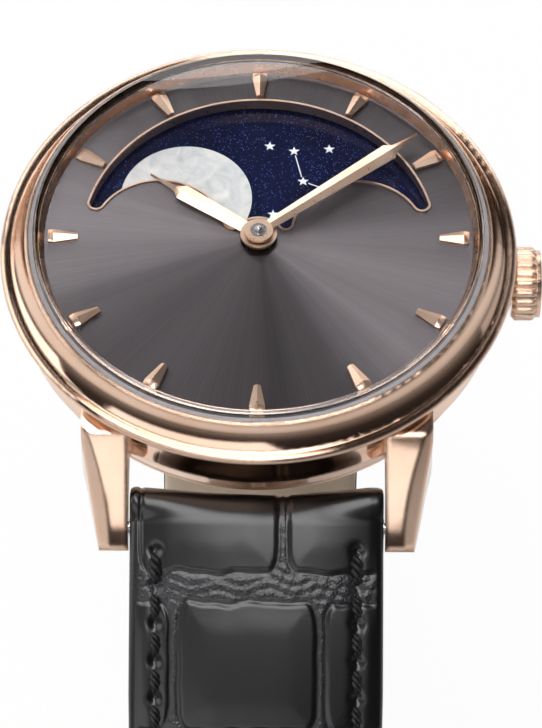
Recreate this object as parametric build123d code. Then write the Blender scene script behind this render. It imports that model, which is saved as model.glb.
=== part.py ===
from build123d import *
from math import acos, asin, atan2, cos, degrees, hypot, pi, radians, sin, sqrt
import os

# Moon phase wristwatch with a leather strap, in millimetres.
# Heights are first measured from the dial's face, with +X at three o'clock and +Y at twelve.
# Each piece is lifted at the end so that the strap's tail lies on the plane Z = 0.

# Case, as turned rings around the dial's axis
case_r = 19.0
bead_section_r = 0.38
bead_z = -1.0
lip_out_r = 17.12
lip_out_z = 0.86
lip_in_r = 16.85
lip_in_z = 1.15
slope_bow = 0.17
slope_foot_r = 18.26
slope_foot_z = -0.86
crystal_seat_z = 0.75
dial_bore_r = 16.25
joint_z = -1.45
bezel_neck_r = 18.4
part_gap = 0.02
band_top_r = 18.45
band_rim_depth = 0.28
band_step = 0.16
band_foot_r = 17.85
band_foot_z = -5.1
band_bow = 0.1
holder_r = 16.2
back_spigot_r = 15.75
back_spigot_h = 0.51
back_top_r = 17.55
back_waist_r = 17.0
back_waist_z = -7.15
back_groove = 0.12
back_rim_r = 16.95
back_rim_z = -7.45
back_face_r = 16.3
back_z = -8.3
back_window_r = 13.4
back_ledge_r = 12.7
back_ledge_z = -7.5
back_ledge_thick = 0.2
back_glass_thick = 0.68
gasket_r = 0.14
gasket_ring_r = 16.61
gasket_room = 0.3

# Crystal and flange
crystal_r = 16.5
crystal_edge_z = 1.78
crystal_bevel = 0.2
crystal_dome = 0.42
crystal_inner_z = 1.05
crystal_inner_dome = 0.42
crystal_inner_r = 15.95
flange_foot_r = 15.7
flange_top_r = 16.06
flange_top_z = 0.72

# Lugs
lug_gap = 18.5
lug_root_w = 3.35
lug_tip_w = 2.0
lug_reach = 21.5
lug_tip_z = -8.3
lug_root_y = 13.2
lug_root_z = -1.62
lug_shoulder_y = 15.7
lug_shoulder_z = -2.05
lug_bow = 0.28
lug_tip_drop = 1.15
lug_under_y = 17.6
lug_under_z = -7.3
lug_foot_z = -6.6
lug_bevel_root = 0.55
bar_y = 19.9
bar_z = -7.9
bar_r = 0.75
bar_tip_r = 0.42
bar_tip_len = 0.9
bar_hole_gap = 0.04
bar_end_gap = 0.1

# Dial, window and markers
dial_r = 16.1
dial_thick = 0.4
dial_hole_r = 1.35
window_r = 12.9
hump_x = 7.28
hump_y = 0.43
hump_r = 4.94
tab_r = 1.95
lobe_r = 0.42
horn_r = 0.5
frame_w = 0.16
frame_rise = 0.12
frame_drop = 0.45
frame_fit = 0.01
marker_count = 12
marker_out_r = 15.42
marker_in_r = 13.25
marker_w_out = 1.15
marker_w_in = 0.5
marker_h = 0.56
marker_side_h = 0.24
marker_hip = 0.4

# Moon disc
moon_disc_r = 14.2
moon_disc_top = -1.15
moon_disc_thick = 0.25
moon_orbit_r = 7.05
moon_r = 4.88
moon_angle = 140.1
moon_hub_r = 1.6
moon_room = 0.3
inlay_thick = 0.08
star_r = 0.42
star_core_share = 0.42
star_h = 0.05
star_spots = [(0.77, 9.51), (2.58, 9.04), (5.21, 9.25), (3.26, 6.19), (1.04, 3.1), (6.3, 4.9)]
star_spot_shares = [(x / moon_disc_r, y / moon_disc_r) for x, y in star_spots]

# Hands and their pipes
hand_thick = 0.2
hand_edge = 0.06
minute_z = 0.86
hour_z = 0.46
minute_len = 14.78
minute_angle = 52.3
minute_hub_r = 1.05
minute_root_w = 0.8
minute_wide_s = 12.2
minute_wide_w = 1.46
minute_neck_s = 13.0
minute_neck_w = 0.62
hour_len = 9.69
hour_angle = 304.4
hour_hub_r = 1.34
hour_root_w = 0.95
hour_wide_s = 6.9
hour_wide_w = 1.36
hour_neck_s = 7.8
hour_neck_w = 0.42
hand_tip_w = 0.14
neck_bow = 0.12
neck_shares = (0.3, 0.6)
run_gap = 0.03
centre_arbor_r = 0.3
cannon_r = 0.6
hour_pipe_r = 0.95
pin_dome_r = 0.36

# Movement levels, below the dial's face
hour_wheel_z = -1.95
plate_top = -2.35
plate_bottom = -4.0
plate_r = 15.0
bridge_top = -5.75
bridge_bottom = -6.75
under_dial_gap = 0.04
wheel_thick = 0.2
centre_wheel_z = -4.2
third_wheel_z = -5.35
fourth_wheel_z = -4.75
escape_z = -4.3
fork_z = -4.3
balance_z = -4.85
hairspring_z = -5.4
barrel_top = -4.5
barrel_bottom = -5.6
barrel_teeth_z = -5.05
ratchet_z = -6.8
arbor_r = 0.16
stud_r = 0.2
stud_pipe_r = 0.36
pivot_gap = 0.02
tooth_h = 0.1
mesh_gap = 0.03
pinion_len = 0.9

# Wheel counts and sizes
centre_teeth = 80
centre_pinion_teeth = 12
third_teeth = 75
third_pinion_teeth = 10
fourth_teeth = 70
fourth_pinion_teeth = 10
escape_teeth = 15
escape_pinion_teeth = 7
barrel_teeth = 84
ratchet_teeth = 48
crown_wheel_teeth = 30
cannon_teeth = 12
minute_wheel_teeth = 36
minute_pinion_teeth = 12
hour_wheel_teeth = 48
day_wheel_teeth = 96
day_pinion_teeth = 7
second_wheel_teeth = 63
second_pinion_teeth = 16
moon_wheel_teeth = 105
barrel_distance = 7.1
barrel_angle = 50.0
third_distance = 5.9
third_angle = 165.0
fourth_distance = 4.85
fourth_angle = -80.0
escape_distance = 4.35
escape_angle = -70.0
fork_distance = 2.9
fork_angle = -5.0
balance_distance = 3.9
balance_angle = 5.0
minute_wheel_distance = 2.9
minute_wheel_angle = -30.0
day_wheel_angle = -140.0
second_wheel_distance = 5.0
second_orbit_r = 9.8
crown_wheel_distance = 6.8
crown_wheel_angle = -25.0
escape_r = 2.0
escape_root_share = 0.78
balance_r = 4.3
balance_rim_w = 0.55
balance_rim_h = 0.4
balance_arm_w = 0.5
roller_r = 0.5
hairspring_in_r = 0.55
hairspring_out_r = 2.2
hairspring_strip = 0.05
hairspring_h = 0.16
hairspring_turns = 9
hairspring_steps = 20
mainspring_strip = 0.12
mainspring_h = 0.7
mainspring_turns = 7
mainspring_steps = 16
barrel_wall = 0.3
barrel_core_r = 1.1
spoke_w = 0.4
wheel_rim_w = 0.45
hub_share = 0.16
click_len = 2.6
click_w = 0.7
click_angle = 118.0
click_gap = 0.12
bridge_wall = 1.2
bridge_split_y = -1.2
train_split_x = -1.2
split_gap = 0.25
cock_w = 3.4
cock_foot_angle = -48.0
cock_foot_len = 2.0
fork_arm = 2.9
fork_span = 2.4
fork_w = 0.34
pallet_bridge_w = 1.5
pallet_bridge_len = 3.0
pallet_bridge_thick = 0.2
jewel_r = 0.62
jewel_thick = 0.18
screw_r = 0.55
screw_shank_r = 0.3
screw_head_h = 0.16
screw_slot_w = 0.14
screw_slot_depth = 0.08
screw_ring_r = 14.1
screw_angles = [28.0, 62.0, 110.0, 160.0, 200.0, 245.0, -48.0]
wheel_screw_r = 0.9
click_pin_r = 0.15
clamp_w = 2.4
clamp_len = 2.6
clamp_thick = 0.3
clamp_angles = [88.0, 180.0, 355.0]

# Crown, stem and keyless work
crown_z = -5.1
crown_r = 2.75
crown_in_x = 18.75
crown_len = 1.85
crown_cap_r = 2.5
crown_cap_len = 0.45
crown_cap_dome = 0.16
crown_flutes = 22
flute_depth = 0.36
flute_top_share = 0.5
flute_floor_share = 0.2
flute_bevel = 0.3
crown_bore_r = 1.65
crown_bore_depth = 1.2
tube_r = 1.25
tube_bore_r = 0.75
tube_out_x = 19.6
tube_in_x = 16.6
stem_r = 0.6
stem_in_x = 9.2
stem_fit = 0.03
crown_seal_r = 0.18
crown_seal_x = 0.45
stem_tap = 0.3
keyless_gap = 0.2
winding_pinion_x = 11.4
winding_pinion_len = 1.2
winding_pinion_r = 1.2
clutch_x = 9.6
clutch_len = 1.5
clutch_r = 1.05
keyless_pocket = 1.75
keyless_teeth = 15

# Strap, along its path from the lug bars
strap_w = 18.2
strap_long_len = 115.0
strap_short_len = 75.0
strap_tail_w = 15.8
strap_head_r = 2.3
strap_pad_edge = 1.5
strap_thin = 1.3
strap_thin_edge = 1.05
pad_fade_start = 12.0
pad_fade_len = 42.0
lining_head = 1.5
lining_thick = 0.9
lining_fade_len = 16.0
lining_inset = 0.12
crown_share = 0.36
head_clear = 0.14
bar_bore_gap = 0.04
long_start = 27.0
long_mid = 39.0
long_first_r = 95.0
long_curl_r = 24.0
short_start = 57.0
short_first_r = 30.0
loop_gap = 10.5
arc_step = 5.0
arc_trim = 0.8
straight_parts = 3
taper_share = 0.6
flat_angle = 180.0
hole_count = 7
hole_pitch = 6.5
hole_first = 24.0
hole_r = 0.85

# Buckle and keepers
buckle_nose_r = 1.45
tongue_slot_w = 2.6
tongue_slot_len = 5.0
buckle_arm_w = 1.5
buckle_side_gap = 0.2
buckle_len = 9.0
buckle_front_r = 1.05
buckle_thick = 2.1
buckle_eye_r = 1.3
tongue_w = 1.6
tongue_thick = 0.9
tongue_eye_r = 1.3
tongue_over = 0.7
tongue_rest = 0.05
keeper_wall = 0.9
keeper_w = 5.0
keeper_gap = 0.25
fixed_keeper_s = 5.2
free_keeper_s = 16.6
stitched_gap = 0.02
mate_thick = strap_thin + lining_thick
lining_start = strap_head_r + head_clear


def polar(radius, angle):
    """Point at a radius and an angle in degrees, counted from three o'clock."""
    return (radius * cos(radians(angle)), radius * sin(radians(angle)))


def shifted(point, radius, angle):
    step = polar(radius, angle)
    return (point[0] + step[0], point[1] + step[1])


def disc(radius, low, high, place=(0, 0)):
    return Pos(place[0], place[1], (low + high) / 2) * Cylinder(radius, high - low)


def ring(outer, inner, low, high, place=(0, 0)):
    return disc(outer, low, high, place) - disc(inner, low, high, place)


def slab(x_low, x_high, y_low, y_high, z_low, z_high):
    centre = Pos((x_low + x_high) / 2, (y_low + y_high) / 2, (z_low + z_high) / 2)
    return centre * Box(x_high - x_low, y_high - y_low, z_high - z_low)


def turned(points):
    """Ring or disc whose half section is a closed outline of radius and height."""
    outline = Plane.XZ * Polyline(*points, close=True)
    return revolve(make_face(outline), Axis.Z)


def turned_edges(edges):
    return revolve(make_face(Plane.XZ * Curve(edges)), Axis.Z)


def rod(radius, x_low, x_high, y=0, z=0):
    """Round bar along X."""
    return Pos((x_low + x_high) / 2, y, z) * (Rot(0, 90, 0) * Cylinder(radius, x_high - x_low))


def bowed(start, end, bow):
    """Point beside the middle of a line, to its left by bow."""
    span = hypot(end[0] - start[0], end[1] - start[1])
    side = (-(end[1] - start[1]) / span, (end[0] - start[0]) / span)
    return ((start[0] + end[0]) / 2 + side[0] * bow, (start[1] + end[1]) / 2 + side[1] * bow)


def chain(points):
    """Closed face from points; a middle point given as a second item bends that side."""
    edges = []
    count = len(points)
    for index, (point, middle) in enumerate(points):
        following = points[(index + 1) % count][0]
        if middle is None:
            edges.append(Line(point, following))
        else:
            edges.append(ThreePointArc(point, middle, following))
    return edges


def dome_middle(edge, peak):
    """Point halfway out on a dome whose centre is on the turning axis."""
    height = peak[1] - edge[1]
    radius = (edge[0] ** 2 + height ** 2) / (2 * height)
    half = edge[0] / 2
    return (half, peak[1] - radius + sqrt(radius ** 2 - half ** 2))


def toothed(pitch_r, teeth, low, high, place=(0, 0), turn=0.0, hole=0.0):
    """Wheel with plain pointed teeth."""
    tip = pitch_r + tooth_h / 2 - mesh_gap / 2
    root = pitch_r - tooth_h / 2 - mesh_gap / 2
    points = []
    for index in range(2 * teeth):
        radius = tip if index % 2 == 0 else root
        points.append(polar(radius, turn + 180.0 * index / teeth))
    face = make_face(Polyline(*points, close=True))
    solid = Pos(place[0], place[1], low) * extrude(face, high - low)
    if hole > 0:
        solid -= disc(hole, low, high, place)
    return solid


def spoked(solid, pitch_r, low, high, place, spokes=4):
    """Opens a wheel's web, leaving its rim, hub and spokes."""
    rim = pitch_r - wheel_rim_w
    hub = pitch_r * hub_share + arbor_r * 2
    window = ring(rim, hub, low, high)
    for index in range(spokes):
        bar = slab(0, rim, -spoke_w / 2, spoke_w / 2, low, high)
        window -= Rot(0, 0, 360.0 * index / spokes) * bar
    return solid - Pos(place[0], place[1], 0) * window


def spiral_strip(inner, outer, turns, steps, strip, low, high):
    """Flat wound spring as one band between two spirals."""
    inside = []
    outside = []
    for index in range(turns * steps + 1):
        radius = inner + (outer - inner) * index / (turns * steps)
        angle = 360.0 * index / steps
        inside.append(polar(radius, angle))
        outside.append(polar(radius + strip, angle))
    face = make_face(Polyline(*(inside + outside[::-1]), close=True))
    return Pos(0, 0, low) * extrude(face, high - low)


# Places of the wheels
barrel_place = polar(barrel_distance, barrel_angle)
third_place = polar(third_distance, third_angle)
fourth_place = shifted(third_place, fourth_distance, fourth_angle)
escape_place = shifted(fourth_place, escape_distance, escape_angle)
fork_place = shifted(escape_place, fork_distance, fork_angle)
balance_place = shifted(fork_place, balance_distance, balance_angle)
minute_wheel_place = polar(minute_wheel_distance, minute_wheel_angle)
crown_wheel_place = shifted(barrel_place, crown_wheel_distance, crown_wheel_angle)
moon_disc_bottom = moon_disc_top - moon_disc_thick


def mesh_radii(distance, driver, driven):
    """Pitch radii of two meshing wheels from their distance and tooth counts."""
    total = driver + driven
    return distance * driver / total, distance * driven / total


# Case
def make_bezel():
    foot = (slope_foot_r, slope_foot_z)
    groove = (case_r - 2 * bead_section_r, bead_z)
    bead_out = (case_r, bead_z)
    bead_low = (case_r - bead_section_r, bead_z - bead_section_r)
    bead_high = (case_r - bead_section_r, bead_z + bead_section_r)
    lip_top = (lip_in_r, lip_in_z)
    lip_out = (lip_out_r, lip_out_z)
    points = [
        ((dial_bore_r, joint_z), None),
        ((dial_bore_r, crystal_seat_z), None),
        ((lip_in_r, crystal_seat_z), None),
        (lip_top, bowed(lip_top, lip_out, bead_section_r / 4)),
        (lip_out, bowed(lip_out, foot, -slope_bow)),
        (foot, None),
        (groove, bowed(groove, bead_high, bead_section_r / 4)),
        (bead_high, bowed(bead_high, bead_out, bead_section_r / 4)),
        (bead_out, bowed(bead_out, bead_low, bead_section_r / 4)),
        (bead_low, None),
        ((bezel_neck_r, joint_z), None),
    ]
    return turned_edges(chain(points))


def lug_profile():
    """Side outline of a lug at six o'clock, in Y and Z."""
    root = (-lug_root_y, lug_root_z)
    shoulder = (-lug_shoulder_y, lug_shoulder_z)
    tip = (-lug_reach, lug_tip_z)
    heel = (-lug_reach + lug_tip_drop / 2, lug_tip_z - lug_tip_drop)
    under = (-lug_under_y, lug_under_z)
    foot = (-lug_root_y, lug_foot_z)
    return [
        (root, None),
        (shoulder, bowed(shoulder, tip, -lug_bow)),
        (tip, bowed(tip, heel, lug_tip_drop / 4)),
        (heel, bowed(heel, under, -lug_bow)),
        (under, None),
        (foot, None),
    ]


def make_lug():
    """Lug at six o'clock on the +X side, with its tapered flank and bevel."""
    inner = lug_gap / 2
    face = make_face(Plane.YZ * Curve(chain(lug_profile())))
    body = Pos(inner, 0, 0) * extrude(face, lug_root_w)
    long_run = lug_reach - lug_root_y
    lean = degrees(atan2(lug_root_w - lug_tip_w, lug_reach - lug_shoulder_y))
    flank = Box(lug_root_w, 4 * long_run, 4 * long_run, align=(Align.MIN, Align.CENTER, Align.CENTER))
    flank = Pos(inner + lug_root_w, -lug_shoulder_y, lug_shoulder_z) * (Rot(0, 0, -lean) * flank)
    bevel = Box(lug_root_w, 4 * long_run, 4 * long_run, align=(Align.MIN, Align.CENTER, Align.CENTER))
    slope = degrees(atan2(lug_shoulder_z - lug_tip_z, lug_reach - lug_shoulder_y))
    bevel = Rot(slope, 0, 0) * (Rot(0, -45, 0) * bevel)
    bevel = Pos(inner + lug_root_w - lug_bevel_root, -lug_shoulder_y, lug_shoulder_z) * (Rot(0, 0, -lean) * bevel)
    return body - flank - bevel


def make_case_middle():
    rim_z = joint_z - part_gap / 2
    step_z = rim_z - band_rim_depth
    waist = (band_top_r - band_step, step_z - band_step / 2)
    foot = (band_foot_r, band_foot_z)
    points = [
        ((holder_r + part_gap, rim_z), None),
        ((band_top_r, rim_z), None),
        ((band_top_r, step_z), None),
        (waist, bowed(waist, foot, -band_bow)),
        (foot, None),
        ((back_top_r, band_foot_z - band_step), None),
        ((back_waist_r, back_waist_z), None),
        ((holder_r + part_gap, back_waist_z), None),
    ]
    band = turned_edges(chain(points))
    lug = make_lug() - disc(dial_bore_r + band_step, lug_tip_z, 0)
    lugs = [lug, mirror(lug, Plane.YZ)]
    lugs += [mirror(one, Plane.XZ) for one in lugs]
    for one in lugs:
        band += one
    reach = lug_gap / 2 + bar_tip_len + bar_end_gap
    for side in (-1, 1):
        band -= rod(bar_tip_r + bar_hole_gap, -reach, reach, side * bar_y, bar_z)
    seat = gasket_r + part_gap * 3
    band -= ring(gasket_ring_r + seat, gasket_ring_r - seat, back_waist_z, back_waist_z + gasket_room)
    return band - rod(tube_r, 0, case_r, 0, crown_z)


def make_caseback_ring():
    top = back_waist_z - part_gap
    ledge_top = back_ledge_z + back_ledge_thick
    spigot_out = holder_r - part_gap
    return turned([
        (back_ledge_r, ledge_top), (back_spigot_r, ledge_top), (back_spigot_r, ledge_top + back_spigot_h),
        (spigot_out, ledge_top + back_spigot_h), (spigot_out, top), (back_waist_r - back_groove, top),
        (back_waist_r - back_groove, back_waist_z - back_groove), (back_rim_r, back_rim_z),
        (back_face_r, back_z), (back_window_r, back_z), (back_window_r, back_ledge_z),
        (back_ledge_r, back_ledge_z)])


def make_caseback_gasket():
    section = Pos(gasket_ring_r, back_waist_z + gasket_room / 2) * Circle(gasket_r)
    return revolve(Plane.XZ * section, Axis.Z)


def make_crystal():
    outer_top = (crystal_r - crystal_bevel, crystal_edge_z)
    peak = (0, crystal_edge_z + crystal_dome)
    inner_peak = (0, crystal_inner_z + crystal_inner_dome)
    inner_edge = (crystal_inner_r, crystal_inner_z)
    points = [
        ((crystal_inner_r, crystal_seat_z), None),
        ((crystal_r, crystal_seat_z), None),
        ((crystal_r, crystal_edge_z - crystal_bevel), None),
        (outer_top, dome_middle(outer_top, peak)),
        (peak, None),
        (inner_peak, dome_middle(inner_edge, inner_peak)),
        (inner_edge, None),
    ]
    return turned_edges(chain(points))


def make_crystal_gasket():
    low = crystal_seat_z + part_gap
    return ring(lip_in_r - part_gap, crystal_r + part_gap, low, lip_in_z - part_gap)


def make_flange():
    return turned([
        (flange_foot_r, 0), (dial_r, 0), (dial_r, flange_top_z), (flange_top_r, flange_top_z)])


# Dial side
def circle_meet(first, first_r, second, second_r, side):
    """Where two circles cross, on the chosen side of the line between their centres."""
    gap = hypot(second[0] - first[0], second[1] - first[1])
    along = (gap ** 2 + first_r ** 2 - second_r ** 2) / (2 * gap)
    across = side * sqrt(first_r ** 2 - along ** 2)
    unit = ((second[0] - first[0]) / gap, (second[1] - first[1]) / gap)
    return (first[0] + unit[0] * along - unit[1] * across, first[1] + unit[1] * along + unit[0] * across)


def toward(start, end, radius):
    """Point at a radius from the start, on the ray to the end."""
    span = hypot(end[0] - start[0], end[1] - start[1])
    return (start[0] + (end[0] - start[0]) * radius / span, start[1] + (end[1] - start[1]) * radius / span)


def window_face(grow):
    """The window in the dial: an outer arc, two rounded horns, two humps and a tab for the hands."""
    hump = (hump_x, hump_y)
    centre = (0, 0)
    horn = circle_meet(centre, window_r - horn_r, hump, hump_r + horn_r, 1)
    lobe = circle_meet(centre, tab_r + lobe_r, hump, hump_r + lobe_r, 1)
    outer = window_r + grow
    hill = hump_r - grow
    tab = tab_r - grow
    horn_size = horn_r + grow
    lobe_size = lobe_r + grow
    rim_end = toward(centre, horn, outer)
    horn_end = toward(hump, horn, hill)
    lobe_start = toward(hump, lobe, hill)
    lobe_end = toward(centre, lobe, tab)
    horn_way = (rim_end[0] + horn_end[0] - 2 * horn[0], rim_end[1] + horn_end[1] - 2 * horn[1])
    horn_low = toward(horn, (horn[0] + horn_way[0], horn[1] + horn_way[1]), horn_size)
    if horn_low[1] > horn[1]:
        horn_low = (2 * horn[0] - horn_low[0], 2 * horn[1] - horn_low[1])
    lobe_low = toward(lobe, (lobe[0], lobe[1] - lobe_size), lobe_size)
    middle = ((horn_end[0] + lobe_start[0]) / 2, (horn_end[1] + lobe_start[1]) / 2)
    hill_top = toward(hump, (middle[0], hump_y + hump_r), hill)
    right = [
        ThreePointArc((0, outer), polar(outer, 45), rim_end),
        ThreePointArc(rim_end, horn_low, horn_end),
        ThreePointArc(horn_end, hill_top, lobe_start),
        ThreePointArc(lobe_start, lobe_low, lobe_end),
        ThreePointArc(lobe_end, polar(tab, 70), (0, tab)),
    ]
    left = [mirror(edge, Plane.YZ) for edge in right]
    return make_face(Curve(right + left))


def make_dial():
    plate = disc(dial_r, -dial_thick, 0)
    plate -= Pos(0, 0, -dial_thick) * extrude(window_face(frame_w + frame_fit), dial_thick)
    return plate - disc(dial_hole_r, -dial_thick, 0)


def make_aperture_frame():
    low = -dial_thick - frame_drop
    height = frame_rise - low
    outer = extrude(window_face(frame_w), height)
    inner = extrude(window_face(0), height)
    return Pos(0, 0, low) * (outer - inner)


def marker_section(radius, width, side_height, ridge_height):
    """Upright outline across a marker, at its distance from the centre."""
    half = width / 2
    points = [
        (half, radius, 0), (half, radius, side_height), (0, radius, ridge_height),
        (-half, radius, side_height), (-half, radius, 0)]
    return make_face(Polyline(*points, close=True))


def make_markers():
    slim = marker_w_in / marker_w_out
    inner = marker_section(marker_in_r, marker_w_in, marker_side_h, marker_h * slim + marker_side_h * (1 - slim))
    full = marker_section(marker_out_r - marker_hip, marker_w_out, marker_side_h, marker_h)
    outer = marker_section(marker_out_r, marker_w_out * 0.9, marker_side_h, marker_side_h * 1.1)
    wedge = loft([inner, full, outer], ruled=True)
    turns = [Rot(0, 0, 360.0 * index / marker_count) * wedge for index in range(marker_count)]
    return Compound(turns)


def make_moon_disc():
    plate = ring(moon_disc_r, hour_pipe_r + run_gap, moon_disc_bottom, moon_disc_top)
    hub_low = hour_wheel_z + wheel_thick + run_gap
    hub = ring(moon_hub_r, hour_pipe_r + run_gap, hub_low, moon_disc_bottom)
    return plate + hub


def make_moons():
    moons = []
    for turn in (0, 180):
        place = polar(moon_orbit_r, moon_angle + turn)
        moons.append(disc(moon_r, moon_disc_top, moon_disc_top + inlay_thick, place))
    return Compound(moons)


def star(place):
    points = []
    for index in range(10):
        radius = star_r if index % 2 == 0 else star_r * star_core_share
        points.append(shifted(place, radius, 90 + 36.0 * index))
    return Pos(0, 0, moon_disc_top) * extrude(make_face(Polyline(*points, close=True)), star_h)


def make_stars():
    spots = [(x * moon_disc_r, y * moon_disc_r) for x, y in star_spot_shares]
    return Compound([star(spot) for spot in spots] + [star((-x, -y)) for x, y in spots])


def hand_section(half_w, s):
    """Section across a hand: low edges on both sides of its middle ridge."""
    points = [(-half_w, 0), (half_w, 0), (half_w, hand_edge), (0, hand_thick), (-half_w, hand_edge)]
    return make_face(Polyline(*[(x, s, z) for x, z in points], close=True))


def make_hand(length, hub_r, bore, root_w, wide_s, wide_w, neck_s, neck_w, low, angle):
    """Ridged hand that widens to a shoulder and ends in a needle, pointing to a clockwise angle."""
    stations = [(root_w / 2, 0), (wide_w / 2, wide_s)]
    for share in neck_shares:
        plain_w = wide_w + (neck_w - wide_w) * share
        stations.append((plain_w / 2 - neck_bow * 4 * share * (1 - share), wide_s + (neck_s - wide_s) * share))
    stations += [(neck_w / 2, neck_s), (hand_tip_w / 2, length)]
    sections = [hand_section(half_w, s) for half_w, s in stations]
    hub = Pos(0, 0, hand_thick / 2) * Cylinder(hub_r, hand_thick)
    hand = loft(sections, ruled=True) + hub - Pos(0, 0, hand_thick / 2) * Cylinder(bore, hand_thick)
    return Pos(0, 0, low) * (Rot(0, 0, -angle) * hand)


# Motion work and moon train, between the moon disc and the main plate
low_wheel_z = plate_top + under_dial_gap
moon_pinion_z = moon_disc_bottom - under_dial_gap - wheel_thick
cannon_pitch, minute_wheel_pitch = mesh_radii(minute_wheel_distance, cannon_teeth, minute_wheel_teeth)
minute_pinion_pitch, hour_wheel_pitch = mesh_radii(minute_wheel_distance, minute_pinion_teeth, hour_wheel_teeth)
day_wheel_pitch = hour_wheel_pitch * day_wheel_teeth / hour_wheel_teeth
day_wheel_distance = hour_wheel_pitch + day_wheel_pitch
day_place = polar(day_wheel_distance, day_wheel_angle)
day_pinion_pitch, second_wheel_pitch = mesh_radii(second_wheel_distance, day_pinion_teeth, second_wheel_teeth)
second_place = circle_meet((0, 0), second_orbit_r, day_place, second_wheel_distance, -1)
moon_ring_pitch = second_orbit_r * moon_wheel_teeth / (moon_wheel_teeth - second_pinion_teeth)
second_pinion_pitch = moon_ring_pitch - second_orbit_r


def make_cannon_pinion():
    teeth = toothed(cannon_pitch, cannon_teeth, low_wheel_z, low_wheel_z + wheel_thick)
    pipe = disc(cannon_r, low_wheel_z, minute_z + hand_thick)
    return teeth + pipe - disc(centre_arbor_r + run_gap, low_wheel_z, minute_z + hand_thick)


def make_hour_wheel():
    wheel = toothed(hour_wheel_pitch, hour_wheel_teeth, hour_wheel_z, hour_wheel_z + wheel_thick, turn=3.75)
    pipe = disc(hour_pipe_r, hour_wheel_z, hour_z + hand_thick)
    return wheel + pipe - disc(cannon_r + run_gap, hour_wheel_z, hour_z + hand_thick)


def arbor(place, low, high):
    return disc(arbor_r, low, high, place)


def stud_hole(place):
    return disc(stud_r + run_gap, plate_top, moon_disc_bottom, place)


def make_minute_wheel():
    middle = low_wheel_z + wheel_thick
    wheel = toothed(minute_wheel_pitch, minute_wheel_teeth, low_wheel_z, middle, minute_wheel_place)
    pinion = toothed(
        minute_pinion_pitch, minute_pinion_teeth, middle, hour_wheel_z + wheel_thick, minute_wheel_place)
    return wheel + pinion - stud_hole(minute_wheel_place)


def make_day_wheel():
    wheel = toothed(day_wheel_pitch, day_wheel_teeth, hour_wheel_z, hour_wheel_z + wheel_thick, day_place)
    wheel = spoked(wheel, day_wheel_pitch, hour_wheel_z, hour_wheel_z + wheel_thick, day_place)
    wheel += toothed(day_pinion_pitch, day_pinion_teeth, low_wheel_z, hour_wheel_z, day_place)
    return wheel - stud_hole(day_place)


def make_second_wheel():
    top = low_wheel_z + wheel_thick
    wheel = toothed(second_wheel_pitch, second_wheel_teeth, low_wheel_z, top, second_place)
    wheel += disc(stud_pipe_r, top, moon_pinion_z, second_place)
    wheel += toothed(
        second_pinion_pitch, second_pinion_teeth, moon_pinion_z, moon_pinion_z + wheel_thick, second_place)
    return wheel - stud_hole(second_place)


def make_moon_wheel():
    low = moon_pinion_z
    solid = disc(moon_ring_pitch + wheel_rim_w, low, moon_disc_bottom)
    return solid - toothed(moon_ring_pitch + mesh_gap, moon_wheel_teeth, low, moon_disc_bottom)


# Going train, between the main plate and the bridges
centre_pinion_pitch, barrel_pitch = mesh_radii(barrel_distance, centre_pinion_teeth, barrel_teeth)
centre_pitch, third_pinion_pitch = mesh_radii(third_distance, centre_teeth, third_pinion_teeth)
third_pitch, fourth_pinion_pitch = mesh_radii(fourth_distance, third_teeth, fourth_pinion_teeth)
fourth_pitch, escape_pinion_pitch = mesh_radii(escape_distance, fourth_teeth, escape_pinion_teeth)
train_top = plate_bottom - pivot_gap
train_bottom = bridge_top + pivot_gap


def make_main_plate():
    plate = disc(plate_r, plate_bottom, plate_top)
    plate -= disc(centre_arbor_r + run_gap, plate_bottom, plate_top)
    pocket = slab(
        clutch_x - keyless_gap, winding_pinion_x + winding_pinion_len + keyless_gap, -keyless_pocket, keyless_pocket,
        plate_bottom, plate_bottom + keyless_pocket / 2)
    studs = disc(stud_r, plate_bottom, hour_wheel_z + wheel_thick, minute_wheel_place)
    studs += disc(stud_r, plate_bottom, hour_wheel_z + wheel_thick, day_place)
    studs += disc(stud_r, plate_bottom, moon_pinion_z + wheel_thick, second_place)
    return plate - pocket + studs


def make_centre_wheel():
    low = centre_wheel_z - wheel_thick
    wheel = toothed(centre_pitch, centre_teeth, low, centre_wheel_z)
    wheel = spoked(wheel, centre_pitch, low, centre_wheel_z, (0, 0), 5)
    pinion = toothed(centre_pinion_pitch, centre_pinion_teeth, train_bottom, low)
    staff = disc(centre_arbor_r, low, minute_z + hand_thick)
    cap = Pos(0, 0, minute_z + hand_thick) * Sphere(pin_dome_r)
    cap &= disc(pin_dome_r, minute_z + hand_thick + run_gap, minute_z + hand_thick + pin_dome_r)
    neck = disc(centre_arbor_r, minute_z + hand_thick, minute_z + hand_thick + run_gap)
    return wheel + pinion + staff + neck + cap


def make_third_wheel():
    low = third_wheel_z - wheel_thick
    wheel = toothed(third_pitch, third_teeth, low, third_wheel_z, third_place)
    wheel = spoked(wheel, third_pitch, low, third_wheel_z, third_place, 5)
    pinion = toothed(third_pinion_pitch, third_pinion_teeth, third_wheel_z, train_top - mesh_gap, third_place)
    return wheel + pinion + arbor(third_place, train_bottom, train_top)


def make_fourth_wheel():
    low = fourth_wheel_z - wheel_thick
    wheel = toothed(fourth_pitch, fourth_teeth, low, fourth_wheel_z, fourth_place)
    wheel = spoked(wheel, fourth_pitch, low, fourth_wheel_z, fourth_place, 5)
    pinion = toothed(fourth_pinion_pitch, fourth_pinion_teeth, train_bottom, low, fourth_place)
    return wheel + pinion + arbor(fourth_place, train_bottom, train_top)


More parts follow.
